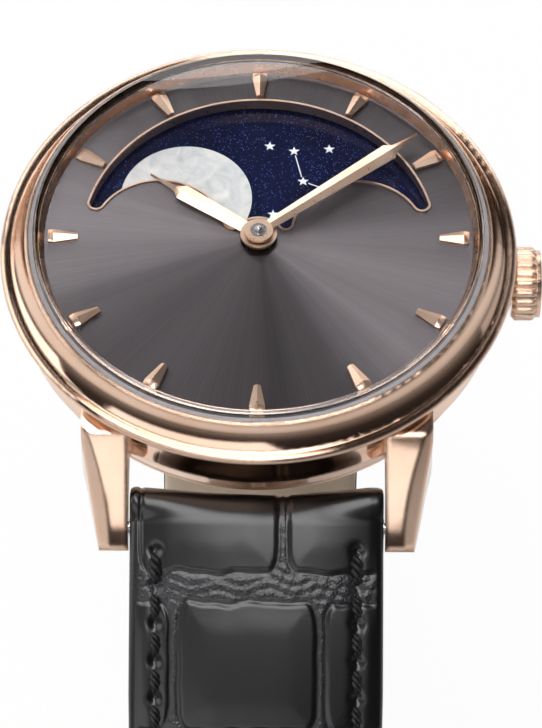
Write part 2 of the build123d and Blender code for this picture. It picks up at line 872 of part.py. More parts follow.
def make_escape_wheel():
    low = escape_z - wheel_thick
    points = []
    for index in range(escape_teeth):
        step = 360.0 / escape_teeth
        points.append(shifted(escape_place, escape_r, index * step))
        points.append(shifted(escape_place, escape_r * escape_root_share, index * step + step / 8))
        points.append(shifted(escape_place, escape_r * escape_root_share, index * step + step / 2))
    wheel = Pos(0, 0, low) * extrude(make_face(Polyline(*points, close=True)), wheel_thick)
    window = ring(escape_r * escape_root_share - spoke_w / 2, roller_r, low, escape_z)
    for index in range(4):
        window -= Rot(0, 0, 90.0 * index) * slab(0, escape_r, -spoke_w / 4, spoke_w / 4, low, escape_z)
    wheel -= Pos(escape_place[0], escape_place[1], 0) * window
    pinion = toothed(escape_pinion_pitch, escape_pinion_teeth, low - pinion_len, low, escape_place)
    return wheel + pinion + arbor(escape_place, train_bottom, train_top)


def make_pallet_fork():
    low = fork_z - wheel_thick
    lever = slab(0, fork_arm, -fork_w / 2, fork_w / 2, low, fork_z)
    anchor = slab(-fork_w, 0, -fork_span / 2, fork_span / 2, low, fork_z)
    solid = lever + anchor
    for side in (-1, 1):
        middle = side * fork_span / 2
        jaw = slab(-fork_w * 2, -fork_w, middle - fork_w / 2, middle + fork_w / 2, low, fork_z)
        horn = slab(fork_arm, fork_arm + fork_w, side * fork_w - fork_w / 2, side * fork_w + fork_w / 2, low, fork_z)
        solid += jaw + horn
    solid += slab(fork_arm - fork_w / 2, fork_arm, -fork_w * 3 / 2, fork_w * 3 / 2, low, fork_z)
    turn = balance_angle
    staff = arbor(fork_place, low - pivot_gap, train_top)
    return Pos(fork_place[0], fork_place[1], 0) * (Rot(0, 0, turn) * solid) + staff


def make_balance():
    low = balance_z - balance_rim_h
    rim = ring(balance_r, balance_r - balance_rim_w, low, balance_z)
    for index in range(2):
        reach = balance_r - balance_rim_w / 2
        arm = slab(-reach, reach, -balance_arm_w / 2, balance_arm_w / 2, low, balance_z - balance_rim_h / 4)
        rim += Rot(0, 0, 35 + 90.0 * index) * arm
    for index in range(4):
        weight = Rot(0, 0, 80 + 90.0 * index) * (Pos(balance_r - balance_rim_w / 2, 0, low - balance_rim_h / 4)
                                                 * Cylinder(balance_rim_w / 2.5, balance_rim_h / 2))
        rim += weight
    hub = disc(roller_r, low - balance_rim_h / 4, balance_z)
    roller = disc(roller_r, escape_z - wheel_thick, escape_z)
    solid = rim + hub + roller + disc(arbor_r, train_bottom, train_top)
    return Pos(balance_place[0], balance_place[1], 0) * solid


def make_hairspring():
    strip = spiral_strip(
        hairspring_in_r, hairspring_out_r, hairspring_turns, hairspring_steps, hairspring_strip,
        hairspring_z - hairspring_h, hairspring_z)
    collet_r = hairspring_in_r + hairspring_strip / 2
    collet = ring(collet_r, arbor_r + pivot_gap, hairspring_z - hairspring_h, hairspring_z)
    return Pos(balance_place[0], balance_place[1], 0) * (strip + collet)


def make_barrel():
    drum_r = barrel_pitch - tooth_h
    drum = disc(drum_r, barrel_bottom, barrel_top)
    cavity = disc(drum_r - barrel_wall, barrel_bottom + barrel_wall / 2, barrel_top - barrel_wall / 2)
    teeth = toothed(barrel_pitch, barrel_teeth, barrel_teeth_z - wheel_thick, barrel_teeth_z)
    drum = drum + teeth - cavity - disc(stem_r + run_gap, barrel_bottom, barrel_top)
    return Pos(barrel_place[0], barrel_place[1], 0) * drum


def make_barrel_arbor():
    staff = disc(stem_r, bridge_bottom - part_gap, train_top)
    core = disc(barrel_core_r, barrel_bottom + barrel_wall, barrel_top - barrel_wall)
    square = slab(-stem_r / 2, stem_r / 2, -stem_r / 2, stem_r / 2, ratchet_z - wheel_thick, bridge_bottom - part_gap)
    end = screw((0, 0), 15.0, ratchet_z - wheel_thick - part_gap, wheel_screw_r, stem_r / 2, wheel_thick)
    return Pos(barrel_place[0], barrel_place[1], 0) * (staff + core + square + end)


def make_mainspring():
    middle = (barrel_bottom + barrel_top) / 2
    strip = spiral_strip(
        barrel_core_r + mainspring_strip, barrel_pitch - barrel_wall - 3 * mainspring_strip, mainspring_turns,
        mainspring_steps, mainspring_strip, middle - mainspring_h / 2, middle + mainspring_h / 2)
    return Pos(barrel_place[0], barrel_place[1], 0) * strip


def make_ratchet_wheel():
    wheel = toothed(ratchet_pitch, ratchet_teeth, ratchet_z - wheel_thick, ratchet_z)
    wheel -= slab(-stem_r / 2 - pivot_gap, stem_r / 2 + pivot_gap, -stem_r / 2 - pivot_gap, stem_r / 2 + pivot_gap,
                  ratchet_z - wheel_thick, ratchet_z)
    return Pos(barrel_place[0], barrel_place[1], 0) * wheel


def make_crown_wheel():
    wheel = toothed(crown_wheel_pitch, crown_wheel_teeth, ratchet_z - wheel_thick, ratchet_z, crown_wheel_place)
    return wheel - disc(screw_shank_r + run_gap, ratchet_z - wheel_thick, ratchet_z, crown_wheel_place)


ratchet_pitch, crown_wheel_pitch = mesh_radii(crown_wheel_distance, ratchet_teeth, crown_wheel_teeth)
click_place = shifted(barrel_place, ratchet_pitch + tooth_h + click_gap + click_w / 2, click_angle)


def make_click():
    body = slab(-click_w / 2, click_w / 2, -click_len, 0, ratchet_z - wheel_thick, ratchet_z)
    body += disc(click_w / 2, ratchet_z - wheel_thick, ratchet_z)
    body -= disc(click_pin_r + run_gap, ratchet_z - wheel_thick, ratchet_z)
    return Pos(click_place[0], click_place[1], 0) * (Rot(0, 0, click_angle + 180) * body)


def bridge_screw_places():
    return [polar(screw_ring_r, angle) for angle in screw_angles]


def jewel_places():
    return [third_place, fourth_place, escape_place, balance_place]


def bridge_blank():
    """Whole bridge layer with its standing wall, before it is split."""
    blank = disc(plate_r, bridge_bottom, bridge_top)
    return blank + ring(plate_r, plate_r - bridge_wall, bridge_top, plate_bottom - part_gap / 2)


def bridge_cuts():
    cuts = rod(tube_bore_r, stem_in_x - keyless_gap, plate_r, 0, crown_z)
    cuts += slab(
        clutch_x - keyless_gap, winding_pinion_x + winding_pinion_len + keyless_gap, -keyless_pocket, keyless_pocket,
        crown_z - winding_pinion_r - keyless_gap, bridge_top)
    cuts += disc(stem_r + run_gap, bridge_bottom, bridge_top, barrel_place)
    for place in jewel_places():
        cuts += disc(jewel_r + part_gap / 2, bridge_bottom, bridge_bottom + jewel_thick, place)
    for place in bridge_screw_places():
        cuts += disc(screw_shank_r + part_gap, bridge_bottom, plate_bottom, place)
    return cuts


def side_room(x_low, x_high, y_low, y_high):
    return slab(x_low, x_high, y_low, y_high, bridge_bottom - plate_r, plate_bottom)


def make_barrel_bridge():
    return (bridge_blank() & side_room(-plate_r, plate_r, bridge_split_y, plate_r)) - bridge_cuts()


def make_train_bridge():
    low_side = side_room(-plate_r, train_split_x, -plate_r, bridge_split_y - split_gap)
    return (bridge_blank() & low_side) - bridge_cuts()


def make_balance_cock():
    foot = polar(plate_r, cock_foot_angle)
    angle = degrees(atan2(foot[1] - balance_place[1], foot[0] - balance_place[0]))
    reach = hypot(foot[0] - balance_place[0], foot[1] - balance_place[1])
    arm = slab(0, reach, -cock_w / 2, cock_w / 2, bridge_bottom, plate_bottom - part_gap / 2)
    arm -= slab(-reach, reach - cock_foot_len, -cock_w, cock_w, bridge_top, plate_bottom)
    arm += disc(cock_w / 2, bridge_bottom, bridge_top)
    cock = Pos(balance_place[0], balance_place[1], 0) * (Rot(0, 0, angle) * arm)
    return (cock & disc(plate_r, bridge_bottom, plate_bottom)) - bridge_cuts()


def make_pallet_bridge():
    low = fork_z - wheel_thick - 2 * pivot_gap - pallet_bridge_thick
    high = low + pallet_bridge_thick
    post = shifted(fork_place, pallet_bridge_len, -90)
    strip = slab(-pallet_bridge_w / 2, pallet_bridge_w / 2, -pallet_bridge_len, 0, low, high)
    strip = Pos(fork_place[0], fork_place[1], 0) * strip
    strip += disc(pallet_bridge_w / 2, low, high, fork_place)
    return strip + disc(pallet_bridge_w / 2, low, plate_bottom - part_gap / 2, post)


def make_jewels():
    stones = []
    for place in jewel_places():
        stone = disc(jewel_r, bridge_bottom, bridge_bottom + jewel_thick, place)
        stones.append(stone - disc(arbor_r / 2, bridge_bottom, bridge_bottom + jewel_thick, place))
    return Compound(stones)


def screw(place, turn, seat, head_r, shank_r, depth):
    """Slotted screw whose head lies on a face seen from the back."""
    top = seat - screw_head_h
    solid = disc(head_r, top, seat) + disc(shank_r, seat, seat + depth)
    slot = slab(-head_r, head_r, -screw_slot_w / 2, screw_slot_w / 2, top, top + screw_slot_depth)
    return Pos(place[0], place[1], 0) * (solid - Rot(0, 0, turn) * slot)


def make_movement_screws():
    """Screws of the bridges, of the case clamps, of the crown wheel and of the click."""
    deep = plate_bottom - bridge_bottom
    screws = []
    for index, place in enumerate(bridge_screw_places()):
        screws.append(screw(place, 40.0 * index, bridge_bottom, screw_r, screw_shank_r, deep))
    for angle in clamp_angles:
        place = polar(plate_r - clamp_len / 2, angle)
        screws.append(screw(place, angle * 2, bridge_bottom - clamp_thick, screw_r, screw_shank_r, clamp_thick))
    wheel_face = ratchet_z - wheel_thick - part_gap
    to_bridge = bridge_bottom - wheel_face
    screws.append(screw(crown_wheel_place, 25.0, wheel_face, wheel_screw_r, screw_shank_r, to_bridge))
    screws.append(screw(click_place, 70.0, wheel_face, click_w / 3, click_pin_r, to_bridge))
    return Compound(screws)


# Movement ring, clamps, crown and stem
def make_movement_holder():
    top = -dial_thick - part_gap
    inner_top = moon_disc_r + moon_room
    inner_low = plate_r + part_gap
    foot = bridge_bottom
    holder = turned([
        (inner_top, top), (holder_r, top), (holder_r, foot), (inner_low, foot), (inner_low, plate_top),
        (inner_top, plate_top)])
    return holder - rod(tube_bore_r, 0, case_r, 0, crown_z)


def make_case_clamps():
    clamps = []
    low = bridge_bottom - clamp_thick
    for angle in clamp_angles:
        tab = slab(plate_r - clamp_len, plate_r + clamp_len / 4, -clamp_w / 2, clamp_w / 2, low, bridge_bottom)
        tab -= disc(screw_shank_r + part_gap, low, bridge_bottom, (plate_r - clamp_len / 2, 0))
        clamps.append(Rot(0, 0, angle) * tab)
    return Compound(clamps)


def make_caseback_glass():
    top = back_ledge_z - part_gap
    return disc(back_window_r - part_gap, top - back_glass_thick, top)


def make_crown_tube():
    tube = rod(tube_r - part_gap / 2, tube_in_x, tube_out_x, 0, crown_z)
    return tube - rod(tube_bore_r, tube_in_x, tube_out_x, 0, crown_z)


def make_crown():
    points = []
    pitch = 360.0 / crown_flutes
    shares = [(0, 0), (flute_top_share, 0), ((1 + flute_top_share - flute_floor_share) / 2, 1),
              ((1 + flute_top_share + flute_floor_share) / 2, 1)]
    for index in range(crown_flutes):
        for place_share, deep in shares:
            points.append(polar(crown_r - deep * flute_depth, pitch * (index + place_share)))
    body = extrude(make_face(Polyline(*points, close=True)), crown_len)
    envelope = turned([
        (0, 0), (crown_r - flute_bevel, 0), (crown_r, flute_bevel), (crown_r, crown_len - flute_bevel),
        (crown_r - flute_bevel, crown_len), (0, crown_len)])
    edge = (crown_cap_r, crown_len + crown_cap_len - crown_cap_dome)
    peak = (0, crown_len + crown_cap_len)
    cap = turned_edges(chain([
        ((0, crown_len), None), ((crown_cap_r, crown_len), None),
        (edge, dome_middle(edge, peak)), (peak, None)]))
    solid = (body & envelope) + cap - disc(crown_bore_r, 0, crown_bore_depth)
    solid -= disc(stem_r, crown_bore_depth, crown_bore_depth + stem_tap)
    return Pos(crown_in_x, 0, crown_z) * (Rot(0, 90, 0) * solid)


def make_crown_gasket():
    middle = (tube_r + crown_bore_r) / 2
    loop = revolve(Plane.XZ * (Pos(middle, 0, 0) * Circle(crown_seal_r)), Axis.Z)
    return Pos(crown_in_x + crown_seal_x, 0, crown_z) * (Rot(0, 90, 0) * loop)


def make_winding_stem():
    return rod(stem_r - part_gap, stem_in_x, crown_in_x + crown_bore_depth + stem_tap, 0, crown_z)


def stem_wheel(start_x, length, radius):
    wheel = toothed(radius, keyless_teeth, 0, length)
    wheel -= disc(stem_r + stem_fit, 0, length)
    return Pos(start_x, 0, crown_z) * (Rot(0, 90, 0) * wheel)


# Strap paths: each run starts at a point (outward, height) with an angle below the horizontal
def strap_path(start, arcs, length):
    runs = []
    point = (bar_y, bar_z)
    angle = start
    done = 0
    for radius, end in arcs:
        run = radius * radians(end - angle)
        runs.append((done, run, radius, angle, point))
        rise = cos(radians(angle)) - cos(radians(end))
        point = (point[0] + radius * (sin(radians(end)) - sin(radians(angle))), point[1] - radius * rise)
        done += run
        angle = end
    runs.append((done, length - done, 0, angle, point))
    return runs


def spot(path, s):
    """Point and angle at a distance along a strap path."""
    done, run, radius, angle, point = [item for item in path if item[0] <= s or item[0] == 0][-1]
    ahead = s - done
    if radius == 0:
        return (point[0] + ahead * cos(radians(angle)), point[1] - ahead * sin(radians(angle))), angle
    end = angle + degrees(ahead / radius)
    out = point[0] + radius * (sin(radians(end)) - sin(radians(angle)))
    return (out, point[1] - radius * (cos(radians(angle)) - cos(radians(end)))), end


def stations(path, start, end):
    """Distances along a path at which sections are drawn."""
    places = [start]
    for done, run, radius, angle, point in path:
        parts = max(1, round(degrees(run / radius) / arc_step)) if radius else straight_parts
        places += [done + run * (index + 1) / parts for index in range(parts)]
        places = [place for place in places if place <= end - arc_trim]
    return [place for place in places if place == start or place > start + arc_trim] + [end]


long_path = strap_path(long_start, [(long_first_r, long_mid), (long_curl_r, flat_angle)], strap_long_len)
tail_z = long_path[-1][4][1]
stand_height = strap_thin - tail_z
short_z = tail_z + lining_thick + loop_gap + strap_thin
short_drop = short_first_r * cos(radians(short_start))
short_curl_r = bar_z - short_drop - short_z
short_path = strap_path(short_start, [(short_first_r, 90.0), (short_curl_r, flat_angle)], strap_short_len)


def strap_width(s, length):
    fade = min(1.0, max(0.0, (s - pad_fade_start) / (length * taper_share)))
    return strap_w + (strap_tail_w - strap_w) * fade


def pad_fade(s):
    t = min(1.0, max(0.0, (s - pad_fade_start) / pad_fade_len))
    return 1 - t * t * (3 - 2 * t)


def strap_section(path, side, s, length, heights, edge, inset):
    """Outline across the strap, from an inner height to an outer one, lower at its two edges."""
    (out, z), angle = spot(path, s)
    normal = (sin(radians(angle)), cos(radians(angle)))
    half = strap_width(s, length) / 2 - inset
    crown = half * crown_share * 2
    low, high = heights
    outline = [
        (-half, low), (-half, edge), (-crown, high), (crown, high), (half, edge), (half, low)]
    points = [(x, side * (out + h * normal[0]), z + h * normal[1]) for x, h in outline]
    return make_face(Polyline(*points, close=True))


def make_upper(path, side, length):
    sections = []
    for s in [0] + stations(path, lining_start, length):
        fade = pad_fade(s)
        high = strap_thin + (strap_head_r - strap_thin) * fade
        edge = strap_thin_edge + (strap_pad_edge - strap_thin_edge) * fade
        sections.append(strap_section(path, side, s, length, (0, high), edge, 0))
    body = loft(sections, ruled=True)
    body += rod(strap_head_r + 3 * part_gap, -strap_w / 2, strap_w / 2, side * bar_y, bar_z)
    return body - rod(bar_r + bar_bore_gap, -strap_w / 2, strap_w / 2, side * bar_y, bar_z)


def make_lining(path, side, length, end):
    sections = []
    for s in stations(path, lining_start, end):
        fade = min(1.0, max(0.0, (s - lining_start) / lining_fade_len))
        low = -(lining_head + (lining_thick - lining_head) * fade)
        sections.append(strap_section(path, side, s, length, (low, 0), 0, lining_inset))
    return loft(sections, ruled=True)


def across(path, side, s):
    """Frame at a distance along a strap, with its Z along the leather's outer side."""
    (out, z), angle = spot(path, s)
    return Pos(0, side * out, z) * Rot(-side * angle, 0, 0)


def strap_holes():
    holes = []
    for index in range(hole_count):
        s = strap_long_len - hole_first - index * hole_pitch
        holes.append(across(long_path, -1, s) * Cylinder(hole_r, strap_head_r * 4))
    return holes


def tail_trim():
    """What is cut away to round the tail's end."""
    (out, z), angle = spot(long_path, strap_long_len)
    half = strap_tail_w / 2
    block = slab(-half * 2, half * 2, -out - half, -out + half * 2, z - strap_head_r, z + strap_head_r)
    return block - disc(half, z - strap_head_r, z + strap_head_r, (0, -out - half))


def make_long_upper():
    body = make_upper(long_path, -1, strap_long_len) - tail_trim()
    for hole in strap_holes():
        body -= hole
    return body


def make_long_lining():
    body = make_lining(long_path, -1, strap_long_len, strap_long_len) - tail_trim()
    for hole in strap_holes():
        body -= hole
    return body


buckle_out, buckle_z = spot(short_path, strap_short_len)[0]
buckle_y = buckle_out


def tongue_slot():
    return slab(
        -tongue_slot_w / 2, tongue_slot_w / 2, buckle_y - tongue_eye_r * 2, buckle_y + tongue_slot_len,
        buckle_z - strap_head_r, buckle_z + strap_head_r)


def make_short_upper():
    body = make_upper(short_path, 1, strap_short_len)
    body += rod(buckle_nose_r, -strap_tail_w / 2, strap_tail_w / 2, buckle_y, buckle_z)
    body -= rod(bar_r + bar_bore_gap, -strap_w, strap_w, buckle_y, buckle_z)
    return body - tongue_slot()


def make_short_lining():
    end = strap_short_len - buckle_nose_r - head_clear
    return make_lining(short_path, 1, strap_short_len, end) - tongue_slot()


def keeper(s, gap):
    """Loop of leather round both straps, with a gap beside the short one."""
    (out, z), angle = spot(short_path, s)
    half = strap_tail_w / 2 + gap
    top = z + lining_thick + gap
    low = z - strap_thin - mate_thick - keeper_gap
    y_low = out - keeper_w / 2
    y_high = out + keeper_w / 2
    outer = slab(-half - keeper_wall, half + keeper_wall, y_low, y_high, low - keeper_wall, top + keeper_wall)
    return outer - slab(-half, half, y_low, y_high, low, top)


def spring_bar(half_len, y, z):
    bar = rod(bar_r, -half_len, half_len, y, z)
    return bar + rod(bar_tip_r, -half_len - bar_tip_len, half_len + bar_tip_len, y, z)


def make_buckle_frame():
    inner = strap_tail_w / 2 + buckle_side_gap
    outer = inner + buckle_arm_w
    arms = []
    for side in (-1, 1):
        x_low, x_high = sorted((side * inner, side * outer))
        arm = slab(x_low, x_high, buckle_y - buckle_len, buckle_y, buckle_z - buckle_thick / 2,
                   buckle_z + buckle_thick / 2)
        arm += rod(buckle_eye_r, x_low, x_high, buckle_y, buckle_z)
        arms.append(arm)
    front = rod(buckle_front_r, -outer, outer, buckle_y - buckle_len, buckle_z)
    hole = bar_tip_len + bar_end_gap
    frame = arms[0] + arms[1] + front
    return frame - rod(bar_tip_r + bar_hole_gap, -inner - hole, inner + hole, buckle_y, buckle_z)


def make_buckle_tongue():
    rest = -buckle_front_r - tongue_rest
    tip = -buckle_len - buckle_front_r - tongue_over
    knee = -buckle_len + buckle_front_r + tongue_over
    points = [
        (0, 0), (knee, rest), (tip, rest), (tip, rest - tongue_thick * 0.7), (knee, rest - tongue_thick),
        (0, -tongue_eye_r)]
    blade = Pos(-tongue_w / 2, 0, 0) * extrude(make_face(Plane.YZ * Polyline(*points, close=True)), tongue_w)
    eye = rod(tongue_eye_r, -tongue_w / 2, tongue_w / 2)
    solid = blade + eye - rod(bar_r + bar_bore_gap, -tongue_w / 2, tongue_w / 2)
    return Pos(0, buckle_y, buckle_z) * solid


lug_bar_half = lug_gap / 2 - bar_end_gap
buckle_bar_half = strap_tail_w / 2 + buckle_side_gap - bar_end_gap

nodes = {
    "case_middle": make_case_middle(),
    "bezel": make_bezel(),
    "crystal": make_crystal(),
    "crystal_gasket": make_crystal_gasket(),
    "flange_ring": make_flange(),
    "movement_holder": make_movement_holder(),
    "case_clamps": make_case_clamps(),
    "caseback_ring": make_caseback_ring(),
    "caseback_glass": make_caseback_glass(),
    "caseback_gasket": make_caseback_gasket(),
    "crown_tube": make_crown_tube(),
    "crown": make_crown(),
    "crown_gasket": make_crown_gasket(),
    "winding_stem": make_winding_stem(),
    "winding_pinion": stem_wheel(winding_pinion_x, winding_pinion_len, winding_pinion_r),
    "clutch_wheel": stem_wheel(clutch_x, clutch_len, clutch_r),
    "dial": make_dial(),
    "hour_markers": make_markers(),
    "aperture_frame": make_aperture_frame(),
    "moon_disc": make_moon_disc(),
    "moons": make_moons(),
    "stars": make_stars(),
    "hour_hand": make_hand(
        hour_len, hour_hub_r, hour_pipe_r + frame_fit, hour_root_w, hour_wide_s, hour_wide_w, hour_neck_s,
        hour_neck_w, hour_z, hour_angle),
    "minute_hand": make_hand(
        minute_len, minute_hub_r, cannon_r + frame_fit, minute_root_w, minute_wide_s, minute_wide_w,
        minute_neck_s, minute_neck_w, minute_z, minute_angle),
    "cannon_pinion": make_cannon_pinion(),
    "hour_wheel": make_hour_wheel(),
    "minute_wheel": make_minute_wheel(),
    "day_wheel": make_day_wheel(),
    "moon_setting_wheel": make_second_wheel(),
    "moon_ring_gear": make_moon_wheel(),
    "main_plate": make_main_plate(),
    "centre_wheel": make_centre_wheel(),
    "third_wheel": make_third_wheel(),
    "fourth_wheel": make_fourth_wheel(),
    "escape_wheel": make_escape_wheel(),
    "pallet_fork": make_pallet_fork(),
    "balance_wheel": make_balance(),
    "hairspring": make_hairspring(),
    "barrel": make_barrel(),
    "barrel_arbor": make_barrel_arbor(),
    "mainspring": make_mainspring(),
    "ratchet_wheel": make_ratchet_wheel(),
    "crown_wheel": make_crown_wheel(),
    "click": make_click(),
    "barrel_bridge": make_barrel_bridge(),
    "train_bridge": make_train_bridge(),
    "balance_cock": make_balance_cock(),
    "pallet_bridge": make_pallet_bridge(),
    "jewels": make_jewels(),
    "movement_screws": make_movement_screws(),
    "lug_spring_bars": Compound([spring_bar(lug_bar_half, side * bar_y, bar_z) for side in (-1, 1)]),
    "strap_long_upper": make_long_upper(),
    "strap_long_lining": make_long_lining(),
    "strap_short_upper": make_short_upper(),
    "strap_short_lining": make_short_lining(),
    "fixed_keeper": keeper(strap_short_len - fixed_keeper_s, stitched_gap),
    "free_keeper": keeper(strap_short_len - free_keeper_s, keeper_gap),
    "buckle_spring_bar": spring_bar(buckle_bar_half, buckle_y, buckle_z),
    "buckle_frame": make_buckle_frame(),
    "buckle_tongue": make_buckle_tongue(),
}

os.makedirs("parts", exist_ok=True)
for name, shape in nodes.items():
    export_step(Pos(0, 0, stand_height) * shape, "parts/" + name + ".step")
print("stand height", round(stand_height, 3), "short curl radius", round(short_curl_r, 3))
print("buckle at", round(buckle_y, 3), round(buckle_z + stand_height, 3))
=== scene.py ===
import math
import random

import bmesh
import bpy
from mathutils import Matrix, Vector


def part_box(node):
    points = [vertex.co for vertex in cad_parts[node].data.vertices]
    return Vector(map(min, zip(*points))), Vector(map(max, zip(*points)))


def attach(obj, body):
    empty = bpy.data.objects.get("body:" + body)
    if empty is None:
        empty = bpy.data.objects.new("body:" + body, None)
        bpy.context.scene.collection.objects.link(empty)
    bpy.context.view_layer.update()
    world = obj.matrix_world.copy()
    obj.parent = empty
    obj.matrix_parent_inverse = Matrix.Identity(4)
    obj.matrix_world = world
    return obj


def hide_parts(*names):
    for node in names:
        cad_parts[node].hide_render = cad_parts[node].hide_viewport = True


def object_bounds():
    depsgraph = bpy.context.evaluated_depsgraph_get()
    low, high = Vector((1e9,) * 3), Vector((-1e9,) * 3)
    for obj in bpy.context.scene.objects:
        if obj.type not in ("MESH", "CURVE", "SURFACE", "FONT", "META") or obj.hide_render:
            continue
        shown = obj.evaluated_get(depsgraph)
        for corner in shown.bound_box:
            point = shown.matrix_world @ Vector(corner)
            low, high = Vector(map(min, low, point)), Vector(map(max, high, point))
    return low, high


# Looks of the moon phase wristwatch. The object is in metres; the values below are in millimetres.
MM = 0.001
SEED = 11
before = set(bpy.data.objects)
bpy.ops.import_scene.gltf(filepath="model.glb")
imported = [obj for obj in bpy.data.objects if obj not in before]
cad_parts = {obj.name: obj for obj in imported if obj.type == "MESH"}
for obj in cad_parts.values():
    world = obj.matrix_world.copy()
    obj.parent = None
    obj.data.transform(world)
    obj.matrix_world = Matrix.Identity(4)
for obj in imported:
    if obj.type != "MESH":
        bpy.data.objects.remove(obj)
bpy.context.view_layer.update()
rng = random.Random(SEED)

# Sizes of the part, as in its source: the bars, the leather and lining, the buckle's end and the moon disc
BAR_Y = 19.9
STAND = 62.668
BAR_Z = STAND - 7.9
WIDTH = 18.2
TAIL_WIDTH = 15.8
NOSE_R = 2.34
BAR_HOLE_R = 0.8
THIN = 1.3
THIN_EDGE = 1.05
PAD_EDGE = 1.5
PAD_START = 12.0
PAD_FADE = 42.0
TAPER_SHARE = 0.6
LINING = 0.9
LINING_HEAD = 1.5
LINING_FADE = 16.0
LINING_START = 2.44
LONG_LEN = 115.0
SHORT_LEN = 75.0
LONG_ARCS = [(95.0, 27.0, 39.0), (24.0, 39.0, 180.0)]
SHORT_ARCS = [(30.0, 57.0, 90.0), (24.429, 90.0, 180.0)]
HOLES = [91.0 - 6.5 * index for index in range(7)]
HOLE_R = 0.85
SLOT_START = 70.0
SLOT_HALF = 1.3
BUCKLE_NOSE_R = 1.45
MOON_TOP = STAND - 1.15
DIAL_R = 16.0

# Tone of the folds between scales, paler than the scales
FOLD_TONE = "#3A363C"


# Colours, nodes and finishes
def linear(hex_colour):
    """Linear colour from an sRGB hex value."""
    parts = [int(hex_colour[i:i + 2], 16) / 255 for i in (1, 3, 5)]
    return tuple(p / 12.92 if p <= 0.04045 else ((p + 0.055) / 1.055) ** 2.4 for p in parts) + (1.0,)


def add(tree, kind, inputs=None, to=None, out=0, stops=(), **settings):
    """Adds a node with its settings, inputs and colour stops, and links one output to a socket if asked.

    A node given as an input stands for its first output.
    """
    node = tree.nodes.new(kind)
    for name, value in settings.items():
        setattr(node, name, value)
    for name, value in (inputs or {}).items():
        if isinstance(value, bpy.types.Node):
            value = value.outputs[0]
        if isinstance(value, bpy.types.NodeSocket):
            tree.links.new(value, node.inputs[name])
        else:
            node.inputs[name].default_value = value
    if stops:
        elements = node.color_ramp.elements
        while len(elements) < len(stops):
            elements.new(0.5)
        for element, (position, colour) in zip(elements, stops):
            element.position = position
            element.color = linear(colour)
    if to is not None:
        tree.links.new(node.outputs[out], to)
    return node


def surface(name, colour, roughness, metallic=0.0, **sockets):
    """New material with one Principled shader, its constant values set on the shader itself."""
    material = bpy.data.materials.new(name)
    material.use_nodes = True
    tree = material.node_tree
    shader = tree.nodes["Principled BSDF"]
    shader.inputs["Base Color"].default_value = linear(colour)
    shader.inputs["Roughness"].default_value = roughness
    shader.inputs["Metallic"].default_value = metallic
    for socket, value in sockets.items():
        shader.inputs[socket.replace("_", " ")].default_value = value
    return material, tree, shader


def sized(tree, size_mm, turn=0.0):
    """Object coordinates in units of a real size in millimetres: one for all axes, or (x, y, z)."""
    sizes = size_mm if isinstance(size_mm, tuple) else (size_mm,) * 3
    coords = add(tree, "ShaderNodeTexCoord").outputs["Object"]
    scale = [1 / (size * MM) for size in sizes]
    return add(tree, "ShaderNodeMapping", {"Vector": coords, "Scale": scale, "Rotation": (0.0, 0.0, turn)})


def clouds(tree, size_mm, detail=4.0, rough=0.55, distortion=0.0):
    """Cloudy pattern over the whole part, its patches as large as the given size."""
    inputs = {"Vector": sized(tree, size_mm), "Scale": 1.0, "Detail": detail, "Roughness": rough}
    return add(tree, "ShaderNodeTexNoise", inputs | {"Distortion": distortion})


def vary(tree, shader, pattern, tones=(), gloss=None, depth_mm=None):
    """Lets a pattern change a finish: its tone, its roughness between two values, and its relief."""
    if tones:
        add(tree, "ShaderNodeValToRGB", {"Fac": pattern}, shader.inputs["Base Color"], stops=tones)
    if gloss:
        add(tree, "ShaderNodeMapRange", {"Value": pattern, "To Min": gloss[0], "To Max": gloss[1]},
            shader.inputs["Roughness"])
    if depth_mm:
        add(tree, "ShaderNodeBump", {"Height": pattern, "Distance": depth_mm * MM, "Strength": 1.0},
            shader.inputs["Normal"])


def polished_gold():
    """Rose gold plating over polished steel: a mirror that shows each lamp as a clean band, softened by hair
    scratches under 0.1 mm apart. Its edges are rounded over half a millimetre."""
    material, tree, shader = surface("rose gold polished", "#EBC9B1", 0.1, 1.0)
    vary(tree, shader, clouds(tree, 0.9, 6.0, 0.7), gloss=(0.05, 0.13))
    vary(tree, shader, clouds(tree, 6.0), [(0.3, "#E8C3AA"), (0.7, "#EFCFB9")])
    add(tree, "ShaderNodeBevel", {"Radius": 0.5 * MM}, shader.inputs["Normal"], samples=6)
    return material


def faceted_gold():
    """Rose gold plated brass trim, satin cut: it gathers light from a wider area than the case."""
    material, tree, shader = surface("rose gold satin cut", "#F0CDB4", 0.3, 1.0)
    vary(tree, shader, clouds(tree, 0.5), gloss=(0.24, 0.34))
    vary(tree, shader, clouds(tree, 2.5), [(0.3, "#ECC7AC"), (0.7, "#F4D5BF")])
    return material


def glass(name, tint):
    """Clear mineral glass, or ruby by its tint, polished: sharp pale reflections, and lamp light passes
    through to what lies under it."""
    material, tree, shader = surface(name, tint, 0.0, 0.0, Transmission_Weight=1.0, IOR=1.5)
    vary(tree, shader, clouds(tree, 8.0, 3.0), gloss=(0.0, 0.012))
    rays = add(tree, "ShaderNodeLightPath")
    clear = add(tree, "ShaderNodeBsdfTransparent", {"Color": linear("#F4F6F7")})
    add(tree, "ShaderNodeMixShader", {0: rays.outputs["Is Shadow Ray"], 1: shader, 2: clear},
        tree.nodes["Material Output"].inputs["Surface"])
    return material


